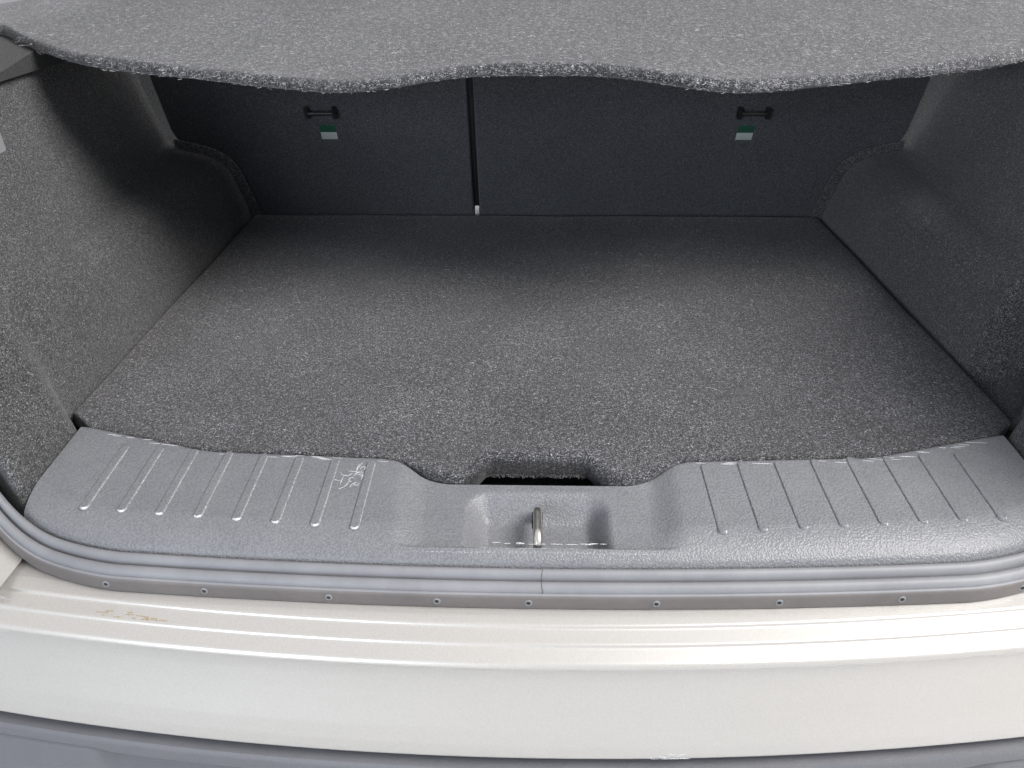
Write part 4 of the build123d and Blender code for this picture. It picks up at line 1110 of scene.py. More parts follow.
# %% Tail lamps
LAMP_LOW, AMBER_LOW, AMBER_HIGH, LAMP_HIGH = 194, 262, 300, 402
LENS_ROWS, LENS_COLUMNS = 70, 80
INNER_EDGE = [(170, 724), (196, 712), (262, 700), (402, 704), (420, 705)]
OUTER_EDGE = [(180, -925), (190, -925), (262, -842), (372, -796), (398, -812), (420, -830)]


def lamp_patch(grow, count_z, count):
    """The lamp's heights, its patch of the skin, grown by a distance, and the outward directions."""
    heights = np.linspace(LAMP_LOW - grow, LAMP_HIGH + grow, count_z)
    inner = smooth_curve(INNER_EDGE, heights) - grow
    outer = smooth_curve(OUTER_EDGE, heights) + grow
    points, outward = surface_patch(BODY_SECTIONS, heights, inner, count, outer)
    return heights, points + outward * proud(heights)[:, None, None], outward


heights, points, outward = lamp_patch(3.0, 30, 40)
both_sides("tail_lamp_gasket", points + outward * 0.5, door_rubber, "seal_rubber", wall=0.4)
heights, points, outward = lamp_patch(0.0, LENS_ROWS, LENS_COLUMNS)
in_rows = np.minimum(heights - LAMP_LOW, LAMP_HIGH - heights)[:, None]
columns = np.arange(LENS_COLUMNS)
in_columns = 4.0 * np.minimum(columns, columns[::-1])
rise = 3.4 * np.sqrt(smooth_step(np.minimum(in_rows, in_columns), -0.5, 7))
divider = ridge(heights - AMBER_LOW, 2.2) + ridge(heights - AMBER_HIGH, 2.2)
points = points + outward * (0.4 + rise - 1.1 * divider[:, None])[..., None]
for lens in both_sides("tail_lamp_lens", points, lamp_red, "lamp_lens", stands_for=["tail_lamp"], wall=0.3,
                       sharp=60):
    lens.data.materials.append(lamp_amber)
    lens.data.materials.append(lamp_clear)
    for face in lens.data.polygons:
        up, across = face.center.z / MM, abs(face.center.x) / MM
        if AMBER_LOW < up < AMBER_HIGH:
            face.material_index = 1
        elif up <= AMBER_LOW and across < 800:
            face.material_index = 2

# %% [markdown]
# ## Lower bumper
# The unpainted lower half is one polypropylene moulding in grained grey. A lip along its top carries on from
# the paint. Below it the middle is set in, and the ends stand out as lobes, with a fine step between. It
# holds the reflectors, four parking sensors and the cover over the towing eye.

# %% Lower bumper skin
LIP_Z, MIDDLE_HALF, MIDDLE_DEPTH = -50, 392, 13
heights = np.concatenate([[-330], np.linspace(-326, -58, 46), np.linspace(-56, -42, 12),
                          [-39, -36.5, -35, -34.2]])
points, outward = surface_patch(LOWER_SECTIONS, heights, np.zeros(len(heights)), 140,
                                np.full(len(heights), COVER_FRONT), front=COVER_FRONT + 14)
x, z = points[..., 0], points[..., 2]
set_in = 1 - smooth_step(x + 0.16 * (z + 50), MIDDLE_HALF - 16, MIDDLE_HALF + 10)
below = 1 - smooth_step(z, LIP_Z - 4, LIP_Z + 1)
above = smooth_step(z, -262, -240)
lift = -MIDDLE_DEPTH * set_in * below * above
lift = lift - (3.2 * ridge(z - LIP_Z, 2.4) + 2.2 * ridge(z + 232, 3)) * (1 - set_in)
lift = lift - 2.5 * smooth_step(z, -39, -34) ** 2
points = points + outward * lift[..., None]
tucked = points[-1] - outward[-1] * 26
under = points[0] - outward[0] * 40 + (0, 0, 2)
points = np.concatenate([under[None], points, tucked[None]])
middle_out = points[:, ::-1][:, :-1] * (-1, 1, 1)
points = np.concatenate([middle_out, points], axis=1)
rows, count = points.shape[:2]
make_piece("lower_bumper_skin", points, grid_faces(rows, count), bumper_plastic, "bumper_plastic",
           stands_for=["bumper_valance"], wall=2.5, sharp=50)


# %% Reflectors, sensors and towing eye cover
def on_tail(outline, lift):
    """An outline in x and z laid on the lower bumper's bow."""
    rear = np.array([level_of(LOWER_SECTIONS, z)[1] for z in outline[:, 1]])
    return np.column_stack([outline[:, 0], bow_y(outline[:, 0], rear) - lift, outline[:, 1]])


def inlay(name, middle, size, radius, profile, finish, slot, depth=0, **options):
    """A small flat part with rolled edges, let into the bumper. The profile is (grown by, proud by)."""
    rings = [on_tail(box_outline(size, grow, max(radius + grow, 0.5), 6, middle), lift - depth)
             for grow, lift in profile]
    make_piece(name, *stacked_rings(rings), finish, slot, solid=True, sharp=50, **options)


REFLECTOR_X, REFLECTOR_Z, SENSOR_Z, TOWING_EYE = 630, -160, -108, (470, -206)
for side, label in ((1, "right"), (-1, "left")):
    middle = (side * REFLECTOR_X, REFLECTOR_Z)
    inlay(f"reflector_bezel_{label}", middle, (152, 38), 10,
          [(0, -2), (0, 0.6), (-1.5, 1.2), (-4, 1.2), (-4, -2)], black_plastic, "black_plastic")
    inlay(f"reflector_lens_{label}", middle, (144, 30), 7,
          [(0, -2), (0, 0.8), (-1, 1.8), (-3, 2.2), (-12, 2.3)], reflector_red, "lamp_lens",
          stands_for=[f"reflector_{label}"])
for number, (sensor_x, depth) in enumerate(((-545, 0), (-255, MIDDLE_DEPTH), (255, MIDDLE_DEPTH), (545, 0)), 1):
    middle = (sensor_x, SENSOR_Z)
    inlay(f"parking_sensor_ring_{number}", middle, (29, 29), 14.4,
          [(0, -2), (0, 0.2), (-1.2, 0.9), (-2.8, 0.6), (-3, -1.5)], black_plastic, "black_plastic", depth)
    inlay(f"parking_sensor_face_{number}", middle, (22, 22), 10.9,
          [(0, -2), (0, 0), (-1, 0.4), (-5, 0.4)], bumper_plastic, "bumper_plastic", depth)
inlay("towing_eye_gap", TOWING_EYE, (74, 74), 14, [(0, -2), (0, 0.25), (-3, 0.25), (-3, -1)],
      door_rubber, "seal_rubber")
inlay("towing_eye_cover", TOWING_EYE, (70, 70), 12, [(0, -2), (0, 0.6), (-1.4, 1.2), (-12, 1.5), (-24, 1.6)],
      bumper_plastic, "bumper_plastic")
fins = []
for fin_x in (-285, -142, 0, 142, 285):
    rings = []
    for z, reach in ((-262, 2), (-268, 10), (-300, 15), (-322, 15), (-327, 6)):
        rear = float(bow_y(fin_x, level_of(LOWER_SECTIONS, z)[1]))
        ring = rounded_box((9, reach + 12), 2, 3) + (fin_x, rear - reach / 2 + 6)
        rings.append(np.column_stack([ring, np.full(len(ring), z)]))
    fins.append(stacked_rings(rings))
make_piece("lower_bumper_fins", *joined(fins), bumper_plastic, "bumper_plastic", solid=True)

# %% [markdown]
# ## Door edge
# The rear door closes against the front edge of each side. There the body carries a hollow rubber seal
# pushed onto the flange, the steel loop that the door's lock closes on, and rubber plugs over the holes
# that drained the paint bath.


# %% Door edge
def standing(outline, y):
    """An outline in x and z, at one y."""
    return np.column_stack([outline[:, 0], np.full(len(outline), y), outline[:, 1]])


DOOR_SEAL_X, LOCK_X, LOCK_Z = 690, 790, 170
SEAL_Z = np.linspace(474, -40, 60)
LOOP = [(-17, 0), (-17, 1), (-17, 14), (-15, 22), (-9, 26), (9, 26), (15, 22), (17, 14), (17, 1), (17, 0)]
LOOP_PLATE = [(0, -2), (0, 3), (-1.5, 4.5), (-8, 4.5)]
PLUGS = [(744, 330, 15), (820, 60, 12), (752, 20, 17), (838, 262, 9)]
PLUG_SECTION = [(1.0, -2), (1.0, 1.2), (0.86, 2.6), (0.6, 2.9), (0.5, 1.2), (0.2, 1.0)]
for side, label in ((1, "right"), (-1, "left")):
    seal_y, foot_y = door_y(SEAL_Z) + 5, float(door_y(-50)) + 5
    path = [(side * DOOR_SEAL_X, y, z) for y, z in zip(seal_y, SEAL_Z)]
    lip = tube([(x + side * 13, y - 3, z) for x, y, z in path], 4, 8)
    path += [(side * (DOOR_SEAL_X + 24 * t), foot_y, -46 - 8 * t) for t in np.linspace(0.2, 1, 6)]
    path += [(side * (DOOR_SEAL_X + 24 + 120 * t), foot_y, -54) for t in np.linspace(0.1, 1, 12)]
    make_piece(f"door_seal_{label}", *joined([tube(path, 9, 14), lip]), door_rubber, "seal_rubber", solid=True)
    loop_x, loop_y = side * LOCK_X, float(door_y(LOCK_Z)) + 1
    bar = tube([(loop_x + across, loop_y + out, LOCK_Z) for across, out in LOOP], 4.5, 14)
    middle = (loop_x, LOCK_Z)
    plate = stacked_rings([standing(box_outline((74, 46), grow, 8 + grow / 2, 5, middle), loop_y + rise)
                           for grow, rise in LOOP_PLATE])
    make_piece(f"door_striker_{label}", *joined([bar, plate]), bare_steel, "bare_steel", solid=True)
    plugs = []
    for plug_x, plug_z, radius in PLUGS:
        middle, edge_y = (side * plug_x, plug_z), float(door_y(plug_z))
        plugs.append(stacked_rings([standing(circle(radius * size) + middle, edge_y + rise)
                                    for size, rise in PLUG_SECTION]))
    make_piece(f"door_edge_plugs_{label}", *joined(plugs), door_rubber, "seal_rubber", solid=True)

# %% [markdown]
# ## Crossmember
# The beam under the seat backs is two pressed halves, spot welded along their flanges. Its front is the face
# that joins the car: it has bolt holes and long access holes. At this size a weld is a shallow dimple
# and a hole a turned rim round a black disc, painted shade for the beam's dark inside, so both are small
# stacks of outlines on the face.

# %% Crossmember's welds and holes
low, high = (np.array(corner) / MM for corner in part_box("front_crossmember"))
WELD_PITCH, WELD_EDGE = 52, 13
WELD_RINGS = [(10, 0.0), (9, 0.5), (6, 0.55), (4, 0.15), (1, 0.1)]
RIM_SECTION = [(6, 0.0), (4, 0.9), (1.5, 1.0), (0, 0.6), (0, 0.05)]
parts, holes = [], []
for x in np.arange(low[0] + 28, high[0] - 20, WELD_PITCH):
    for z in (low[2] + WELD_EDGE, high[2] - WELD_EDGE):
        rings = [standing(box_outline((size, size), 0, size / 2 - 0.01, 3, (x, z)), high[1] + rise)
                 for size, rise in WELD_RINGS]
        parts.append(stacked_rings(rings))
access_holes = [(x, (92, 44)) for x in (-400, -200, 0, 200, 400)]
bolt_holes = [(x, (15, 15)) for x in (-500, -300, -100, 100, 300, 500)]
for x, size in access_holes + bolt_holes:
    middle, radius = (x, (low[2] + high[2]) / 2), min(size) / 2 - 0.01
    rim = np.array([standing(box_outline(size, grow, radius + grow, 6, middle), high[1] + rise)
                    for grow, rise in RIM_SECTION])
    parts.append((rim, grid_faces(*rim.shape[:2], closed=True)))
    # The hole itself is a black disc on the face: painted shade for the dark inside of the beam
    disc = standing(rounded_box(size, radius, 6) + middle, high[1] + 0.12)
    holes.append((disc, [tuple(range(len(disc)))]))
make_piece("crossmember_welds_and_rims", *joined(parts), body_primer, "body_primer", solid=True)
make_piece("crossmember_holes", *joined(holes), black_plastic, "black_plastic")

# %% [markdown]
# ## Parcel shelf
# The shelf is pressed fibre board with felt on both sides. Its rear edge is waved, rolled over and about
# 13 mm thick. Each station across the car is a closed loop: the top, the round edge, the underside and the
# front edge. The wave is a smooth curve through a few measured points.

# %% Parcel shelf
SHELF_WAVE = [(0, -550), (66, -552), (108, -564), (150, -584), (187, -598), (213, -602), (258, -594),
              (322, -577), (381, -560), (449, -542), (526, -514), (566, -490), (621, -450), (667, -410),
              (700, -383), (718, -346)]
SHELF_FRONT, SHELF_THICK = -263, 13
SHELF_EDGE_Y, SHELF_EDGE_Z, SHELF_SLOPE = -584, 442, math.tan(math.radians(9))


def shelf_top(y):
    """Height of the shelf's top."""
    return SHELF_EDGE_Z + (y - SHELF_EDGE_Y) * SHELF_SLOPE


columns = np.concatenate([[-718, -712, -706], np.linspace(-700, 700, 281), [706, 712, 718]])
edge_y = smooth_curve(SHELF_WAVE, np.abs(columns))
radius = SHELF_THICK / 2
# Share of the way to the front, then back and down from there
loop = [(t, 0, 0) for t in np.linspace(1, 0, 34)]
loop += [(0, -radius * math.sin(turn), radius * (math.cos(turn) - 1))
         for turn in np.linspace(0, math.pi, 11)[1:]]
loop += [(t, 0, -SHELF_THICK) for t in np.linspace(0, 1, 10)[1:]]
stations = []
for px, rear in zip(columns, edge_y):
    start = rear + radius
    front = SHELF_FRONT - 28 * smooth_step(abs(px), 688, 719)
    ring = []
    for t, back, drop in loop:
        py = start + (front - start) * t**1.15 + back
        wave = 0.8 * math.sin(px / 83 + py / 47) + 0.6 * math.sin(px / 39 - py / 71)
        ring.append((px, py, shelf_top(py) + drop + (wave if drop > -2 else 0)))
    stations.append(ring)
make_piece("felt_shelf", *stacked_rings(stations), shelf_felt, "shelf_felt", body="shelf_board",
           stands_for=["parcel_shelf"], sharp=60, solid=True)

# %% [markdown]
# ## Side trims
# Both sides of the load space are one moulded sheet of felt that bulges over the wheelhouse, and turns the
# corner to the seal at its rear. At each height the sheet is one line in plan: along the side, round the
# ridge, and back along the return to the seal. The right-hand trim has a storage pocket, which is a soft
# dent in the same surface.

# %% Side trims
# Height, distance from the middle
FRONT_SECTION = [(150, 509), (200, 516.5), (217, 519), (231, 527), (244, 546), (251, 570), (257, 596),
                 (270, 611), (310, 617), (428, 622)]
REAR_SECTION = [(150, 510), (200, 515), (245, 525), (290, 541), (322, 557), (350, 577), (380, 596), (428, 622)]
# Height, then the corner's points in plan: ridge, return's inner end, return's outer end, seal
RETURN_ROWS = [
    (56, (480, -797), (478.5, -911), (516, -884), (560, -846)),
    (128, (480, -797), (478.5, -908), (516, -881), (560, -843)),
    (250, (523, -797), (547, -838), (562, -826), (585, -806)),
    (428, (604, -790), (602, -806), (610, -800), (628, -784)),
]
TRIM_FRONT, TRIM_REAR, TRIM_LOW, TRIM_TOP = -123, -770, 57, 427
POCKET = (-655, -764, 112, 268)
POCKET_X = 598


def side_x(z, y):
    """X of the right-hand side surface."""
    front = np.interp(z, *np.transpose(FRONT_SECTION))
    rear = np.interp(z, *np.transpose(REAR_SECTION))
    t = (TRIM_FRONT - y) / (TRIM_FRONT - TRIM_REAR)
    return front + (rear - front) * t


def corner_points(z):
    """The corner's four points in plan at a height."""
    heights = [row[0] for row in RETURN_ROWS]
    return [tuple(np.interp(z, heights, [row[1 + k][axis] for row in RETURN_ROWS]) for axis in (0, 1))
            for k in range(4)]


def rounded_line(corners, radius, count):
    """Evenly spaced points on a line through corners, which are rounded."""
    dense = round_corners(corners, radius, 6)
    lengths = np.concatenate([[0], np.cumsum(np.linalg.norm(np.diff(dense, axis=0), axis=1))])
    where = np.linspace(0, lengths[-1], count)
    return np.column_stack([np.interp(where, lengths, dense[:, axis]) for axis in (0, 1)])


def pocket_depth(y, z):
    """0 outside the pocket, 1 well inside."""
    front, rear, low, high = POCKET
    return hollowed(ramp_up(np.minimum(front - y, y - rear), 26), ramp_up(np.minimum(z - low, high - z), 30))


heights = np.concatenate([np.linspace(TRIM_LOW, 200, 24)[:-1], np.linspace(200, 300, 36)[:-1],
                          np.linspace(300, TRIM_TOP, 22)])
for side, name in ((-1, "left"), (1, "right")):
    levels = []
    for height in heights:
        wall_front = (side_x(height, TRIM_FRONT), TRIM_FRONT)
        wall_rear = (side_x(height, TRIM_REAR), TRIM_REAR)
        wall = np.linspace(wall_front, wall_rear, 110)
        corner = rounded_line([wall_rear, *corner_points(height)], 14, 70)
        line = np.vstack([wall, corner[1:]])
        if side > 0:
            dent = pocket_depth(line[:, 1], height)
            line[:, 0] += (POCKET_X - line[:, 0]) * dent
        line[:, 0] += 0.5 * np.sin(line[:, 1] / 57 + height / 43) + 0.4 * np.sin(line[:, 1] / 31 - height / 67)
        levels.append(np.column_stack([side * line[:, 0], line[:, 1], np.full(len(line), height)]))
    points = np.array(levels)
    rows, count = points.shape[:2]
    faces = grid_faces(rows, count)
    faces = [f[::-1] for f in faces] if side < 0 else faces
    make_piece(f"side_lining_{name}", points, faces, side_carpet, "side_carpet",
               stands_for=[f"side_trim_{name}"], wall=4.0, sharp=70)

# %% [markdown]
# ## Felt lips beside the seats
# A car has to close the gap between the side trim and the folding seat, or small things fall through. Here
# the trim has a felt lip, which follows its outline and stands just behind the seat back.

# %% Felt lips
SEAT_LEAN = math.radians(20)
PIVOT_Y, PIVOT_Z, SEAT_FACE = -60, 150, -57.6


def on_seat(points):
    """Points given across, through and up the seat back, as points in the part's frame."""
    points = np.asarray(points, float)
    across, through, up = points[..., 0], points[..., 1], points[..., 2]
    return np.stack([across, PIVOT_Y + through * math.cos(SEAT_LEAN) - up * math.sin(SEAT_LEAN),
                     PIVOT_Z + through * math.sin(SEAT_LEAN) + up * math.cos(SEAT_LEAN)], axis=-1)


LIP_GAP = 5.2
LIP_SECTION = [(-5, 3.5), (15, 3.4), (17.5, 2.6), (18.5, 1.2), (18, 0.2), (16, 0.0), (-5, 0.0)]
LIP_OUTLINE = np.array([(509, 112), (509, 150), (516.5, 200), (519, 217), (523, 226), (531, 235), (546, 244),
                        (571, 251), (588, 255), (598, 257)])
direction = np.gradient(LIP_OUTLINE, axis=0)
direction /= np.linalg.norm(direction, axis=1)[:, None]
inward = np.column_stack([-direction[:, 1], direction[:, 0]])
for side, name in ((-1, "left"), (1, "right")):
    rings = []
    for (px, pz), (nx, nz) in zip(LIP_OUTLINE, inward):
        ring = []
        for reach, out in LIP_SECTION:
            lx, lz = px + nx * reach, pz + nz * reach
            behind = (SEAT_FACE - LIP_GAP - out) / math.cos(SEAT_LEAN)
            ly = PIVOT_Y + behind - (lz - PIVOT_Z) * math.tan(SEAT_LEAN)
            ring.append((side * lx, ly, lz))
        rings.append(ring)
    make_piece(f"side_felt_lip_{name}", *stacked_rings(rings), side_carpet, "side_carpet", sharp=50, solid=True)

# %% [markdown]
# ## Seat backs, boot side
# The backs of the folding seats are steel or plastic panels with felt glued on. The felt wraps round the
# edges, so they are round, about 4 mm, and it goes on round the foot, which turns about the pivot. A black
# strip on each back fills the slot between them, painted shade for the dark gap. Under each child-seat
# anchor a small cloth tag is sewn on, left blank here.

# %% Seat backs, boot side
SPLIT_X, SPLIT_HALF = -103, 5
SEAT_FOOT, SEAT_WIDE, SEAT_LENGTH = 500, 598, 560


def seat_outline(side, inset=0.0):
    """Outline of one seat back, across and up."""
    inner = SPLIT_X + side * (SPLIT_HALF + inset)
    corner = [(SEAT_WIDE - inset - 30 + 30 * math.sin(t), SEAT_LENGTH - inset - 30 + 30 * math.cos(t))
              for t in np.linspace(0, math.pi / 2, 7)]
    outer = [(SEAT_WIDE - inset, 166), (SEAT_WIDE - inset - 4, 152), (SEAT_WIDE - inset - 13, 142),
             (SEAT_FOOT - inset + 34, 122), (SEAT_FOOT - inset + 9, 90), (SEAT_FOOT - inset + 1, 50),
             (SEAT_FOOT - inset, inset)]
    points = [(inner, inset), (inner, SEAT_LENGTH - inset)] + [(side * x, z) for x, z in corner + outer]
    return np.array(points)


for side, name in ((-1, "left"), (1, "right")):
    rings = []
    for inset, through in ((0.4, 13.5), (0, 10), (0, 4.5), (0.6, 2.6), (2.0, 1.0), (4.0, 0.2), (6.5, 0)):
        rings.append(on_seat(standing(seat_outline(side, inset), SEAT_FACE + through)))
    make_piece(f"seat_back_felt_{name}", *stacked_rings(rings), seat_felt, "seat_felt",
               body=f"seat_back_{name}", stands_for=[f"seat_back_panel_{name}"], sharp=30, solid=True)

# %% Strips in the split, and felt wrapped round the feet
STRIP_LOW, STRIP_HIGH = 4, 556
WRAP_OUT, WRAP_IN = 57.3, 55.6


def corners_of(x0, x1, z0, z1):
    """A rectangle's corners."""
    return np.array([(x0, z0), (x1, z0), (x1, z1), (x0, z1)])


for side, name in ((-1, "left"), (1, "right")):
    # The strip in the split is black: painted shade for the gap between the backs
    x0, x1 = SPLIT_X + side * 0.1, SPLIT_X + side * (SPLIT_HALF + 1)
    rings = [on_seat(standing(corners_of(x0, x1, STRIP_LOW, STRIP_HIGH), through))
             for through in (SEAT_FACE + 9, SEAT_FACE + 30)]
    make_piece(f"seat_split_strip_{name}", *stacked_rings(rings), black_plastic, "seat_felt",
               body=f"seat_back_{name}", solid=True)
    x0, x1 = SPLIT_X + side * (SPLIT_HALF + 0.4), side * (SEAT_FOOT - 0.6)
    rings = []
    for turn in np.radians(np.linspace(-6, 125, 22)):
        rings.append(on_seat([(px, -radius * math.cos(turn), -radius * math.sin(turn))
                              for px, radius in corners_of(x0, x1, WRAP_OUT, WRAP_IN)]))
    make_piece(f"seat_foot_felt_{name}", *stacked_rings(rings), seat_felt, "seat_felt",
               body=f"seat_back_{name}", sharp=30, solid=True)

# %% Tags, and the catch at the foot of the split
TAG_X, TAG_UP, TAG_SIZE, CATCH_Y = 338, 166, 13, -104
for side, name in ((-1, "left"), (1, "right")):
    for label, low, high, finish in (("upper", 0, TAG_SIZE, green_cloth), ("lower", -TAG_SIZE, 0, pale_cloth)):
        rings = []
        for inset, out in ((0, 0.0), (0, -0.5), (0.6, -0.8)):
            half = TAG_SIZE - inset
            tag = corners_of(side * TAG_X - half, side * TAG_X + half,
                             TAG_UP + low + inset, TAG_UP + high - inset)
            rings.append(on_seat(standing(tag, SEAT_FACE + out)))
        make_piece(f"seat_tag_{label}_{name}", *stacked_rings(rings), finish, "seat_cloth",
                   body=f"seat_back_{name}", solid=True)
rings = [[(SPLIT_X + dx * share, CATCH_Y + dy * share, z) for dx, dy in corners_of(-3.6, 3.6, -6, 6)]
         for z, share in ((119, 1), (142, 1), (145, 0.75), (146, 0.375))]
make_piece("seat_split_catch", *stacked_rings(rings), bracket_steel, "bare_steel", solid=True)

# %% [markdown]
# ## Seat cushions
# In front of each panel is a foam cushion under a sewn cover. Foam presses the cover outwards, so it is
# crowned, and seams and channels pull it in. Here a slightly smaller form is blown up with the Cloth
# solver, which gives the swell, and the seams are pressed in afterwards, because the solver's even mesh is
# too coarse to keep them. The cap on movement keeps the cushion inside its place.


# %% Inflating a form
def swollen(points, faces, voxel, pressure, cap):
    """A closed form as points and faces, swollen by the cloth solver and subdivided once."""
    mesh = bpy.data.meshes.new("filling")
    mesh.from_pydata((np.asarray(points, float).reshape(-1, 3) * MM).tolist(), [], faces)
    item = bpy.data.objects.new("filling", mesh)
    bpy.context.scene.collection.objects.link(item)
    even = item.modifiers.new("even", "REMESH")
    even.mode = "VOXEL"
    even.voxel_size = voxel * MM
    settle(item, 180)
    start = np.array([v.co for v in item.data.vertices])
    cover = item.modifiers.new("cover", "CLOTH")
    cover.settings.use_pressure = True
    cover.settings.uniform_pressure_force = pressure
    cover.settings.effector_weights.gravity = 0
    for step in range(1, 21):
        bpy.context.scene.frame_set(step)
    settle(item, 180)
    bpy.context.scene.frame_set(1)
    moved = np.array([v.co for v in item.data.vertices]) - start
    length = np.maximum(np.linalg.norm(moved, axis=1), 1e-9)
    end = start + moved * np.minimum(1, cap * MM / length)[:, None]
    item.data.vertices.foreach_set("co", end.ravel())
    finer = item.modifiers.new("finer", "SUBSURF")
    finer.levels = 1
    settle(item, 180)
    result = np.array([v.co for v in item.data.vertices]) / MM
    result_faces = [tuple(p.vertices) for p in item.data.polygons]
    used = item.data
    bpy.data.objects.remove(item)
    bpy.data.meshes.remove(used)
    return result, result_faces


def groove(distance, width, depth):
    """Depth of a sewn channel at a distance from its line."""
    return depth * ridge(distance, width)


# %% Seat cushions
CUSHION_BACK, CUSHION_FRONT, FOOT_RADIUS = -43.0, 57.0, 55.4
# Across: each place's bolster seams. Up: the channels between them
SEAMS = {"left": [(-532, -166)], "right": [(-62, 214), (252, 532)]}
CHANNELS, TOP_SEAM = (118, 196, 274, 352, 430), 512
SEAM_LEAN = 7
# Through the cushion, inset
CUSHION_SECTION = [(-38, 26), (-32, 17), (-16, 12), (6, 12), (24, 15), (36, 22), (43, 32)]
for side, name in ((-1, "left"), (1, "right")):
    rings = []
    for through, inset in CUSHION_SECTION:
        outline_2d = seat_outline(side, inset + 3)
        low = np.isclose(outline_2d[:, 1], inset + 3)
        outline_2d[low, 1] = -math.sqrt(FOOT_RADIUS**2 - through**2) + inset
        rings.append(standing(outline_2d, through))
    points, faces = swollen(*stacked_rings(rings), 9.5, 4.0, 24)
    front = smooth_step(points[:, 1], 12, 34)
    press = np.zeros(len(points))
    centre_panel = np.zeros(len(points), bool)
    for low_x, high_x in SEAMS[name]:
        lean = SEAM_LEAN * np.sin((points[:, 2] - 60) / 160)
        left_line, right_line = low_x + lean, high_x - lean
        press = np.maximum(press, groove(points[:, 0] - left_line, 6, 9))
        press = np.maximum(press, groove(points[:, 0] - right_line, 6, 9))
        between = (points[:, 0] > left_line) & (points[:, 0] < right_line)
        centre_panel |= between
        for up in CHANNELS:
            press = np.maximum(press, np.where(between, groove(points[:, 2] - up, 7, 6), 0))
    press = np.maximum(press, groove(points[:, 2] - TOP_SEAM, 6, 8))
    points[:, 1] -= press * front
    front_limit = CUSHION_FRONT + 6 * smooth_step(points[:, 2], 60, 140)
    points[:, 1] = np.clip(points[:, 1], CUSHION_BACK, front_limit)
    reach = np.hypot(points[:, 1], points[:, 2])
    at_foot = (points[:, 2] < 8) & (reach > FOOT_RADIUS)
    points[at_foot, 1:] *= (FOOT_RADIUS / reach[at_foot])[:, None]
    cushion = make_piece(f"seat_cushion_{name}", on_seat(points), faces, seat_cloth, "seat_cloth",
                         body=f"seat_back_{name}", stands_for=[f"seat_back_cushion_{name}"], sharp=180,
                         solid=True)
    cushion.data.materials.append(bolster_cloth)
    for face, corners in zip(cushion.data.polygons, faces):
        inside = centre_panel[list(corners)].all() and points[list(corners), 1].min() > 20
        face.material_index = 0 if inside and points[corners[0], 2] < TOP_SEAM - 2 else 1

# %% [markdown]
# ## Head restraints
# Each is a foam block in the same cloth on two chromed stays, which slide in plastic sleeves in the seat's
# top. The block is blown up like the cushions. The stays are bent tube, 12 mm thick.

# %% Head restraints
REST_PLACES = {"left": [-345], "right": [60, 345]}
REST_WIDTH, REST_HEIGHT, REST_UP, STAY_HALF = 230, 130, SEAT_LENGTH + 95, 70
REST_SECTION = [(-32, -26), (-26, -16), (-10, -10), (10, -10), (26, -16), (33, -28)]
SLEEVE_SECTION = [(-14, 11), (4, 11), (7, 10), (8, 8)]
for name, places in REST_PLACES.items():
    pads, stays, sleeves = [], [], []
    for place_x in places:
        rings = [standing(box_outline((REST_WIDTH, REST_HEIGHT), grow, 30 + grow / 2, 6, (place_x, REST_UP)),
                          through) for through, grow in REST_SECTION]
        points, faces = swollen(*stacked_rings(rings), 7, 4.0, 14)
        press = np.maximum(groove(points[:, 2] - REST_UP - 22, 5, 4),
                           groove(np.abs(points[:, 0] - place_x) - 84, 5, 4))
        points[:, 1] -= press * np.sign(points[:, 1]) * smooth_step(np.abs(points[:, 1]), 12, 26)
        pads.append((points, faces))
        for side in (-1, 1):
            stay_x = place_x + side * STAY_HALF
            stays.append(tube([(stay_x, 0, SEAT_LENGTH + up) for up in (-30, 0, 36, 60)], 6, 20))
            rings = [np.column_stack([circle(size) * (1.35, 1) + (stay_x, 0), np.full(24, SEAT_LENGTH + up)])
                     for up, size in SLEEVE_SECTION]
            sleeves.append(stacked_rings(rings))
    points, faces = joined(pads)
    pad = make_piece(f"head_restraint_pads_{name}", on_seat(points), faces, bolster_cloth, "seat_cloth",
                     body=f"seat_back_{name}", stands_for=[f"head_restraint_{name}"], sharp=180, solid=True)
    for label, parts, finish, slot in (("stays", stays, chrome, "bare_steel"),
                                       ("sleeves", sleeves, black_plastic, "black_plastic")):
        points, faces = joined(parts)
        make_piece(f"head_restraint_{label}_{name}", on_seat(points), faces, finish, slot,
                   body=f"seat_back_{name}", solid=True)

# %% [markdown]
# ## Loose fibres
# Used felt sheds. Pale hairs lie curled on the carpet, and the cut edge of the shelf has a fringe of fibres.
# They are real threads, made as thin three-sided tubes. A thread of 0.03 mm couldn't show in the picture,
# so they are drawn 0.3 mm thick, and there are fewer of them.


# %% Loose fibres
def curled(root, heading, length, curl, rise, steps=6):
    """Path of a fibre that lies on a surface and curls to one side."""
    path, angle = [np.array(root, float)], heading
    for step in range(steps):
        angle += curl / steps
        lift = rise * math.cos(step / steps * math.pi)
        path.append(path[-1] + (length / steps) * np.array([math.cos(angle), math.sin(angle), lift]))
    return path


fibres = []
for _ in range(420):
    px, py = rng.uniform(-495, 495), rng.uniform(-822, -130)
    length = rng.choice([3, 5, 8, 14], p=[0.45, 0.35, 0.16, 0.04])
    path = curled((px, py, BOARD_TOP + 0.5), rng.uniform(0, 6.3), length, rng.uniform(-4, 4), 0.35)
    fibres.append(tube(path, 0.15, 3))
make_piece("load_floor_lint", *joined(fibres), lint, "floor_carpet", body="floor_board", solid=True)

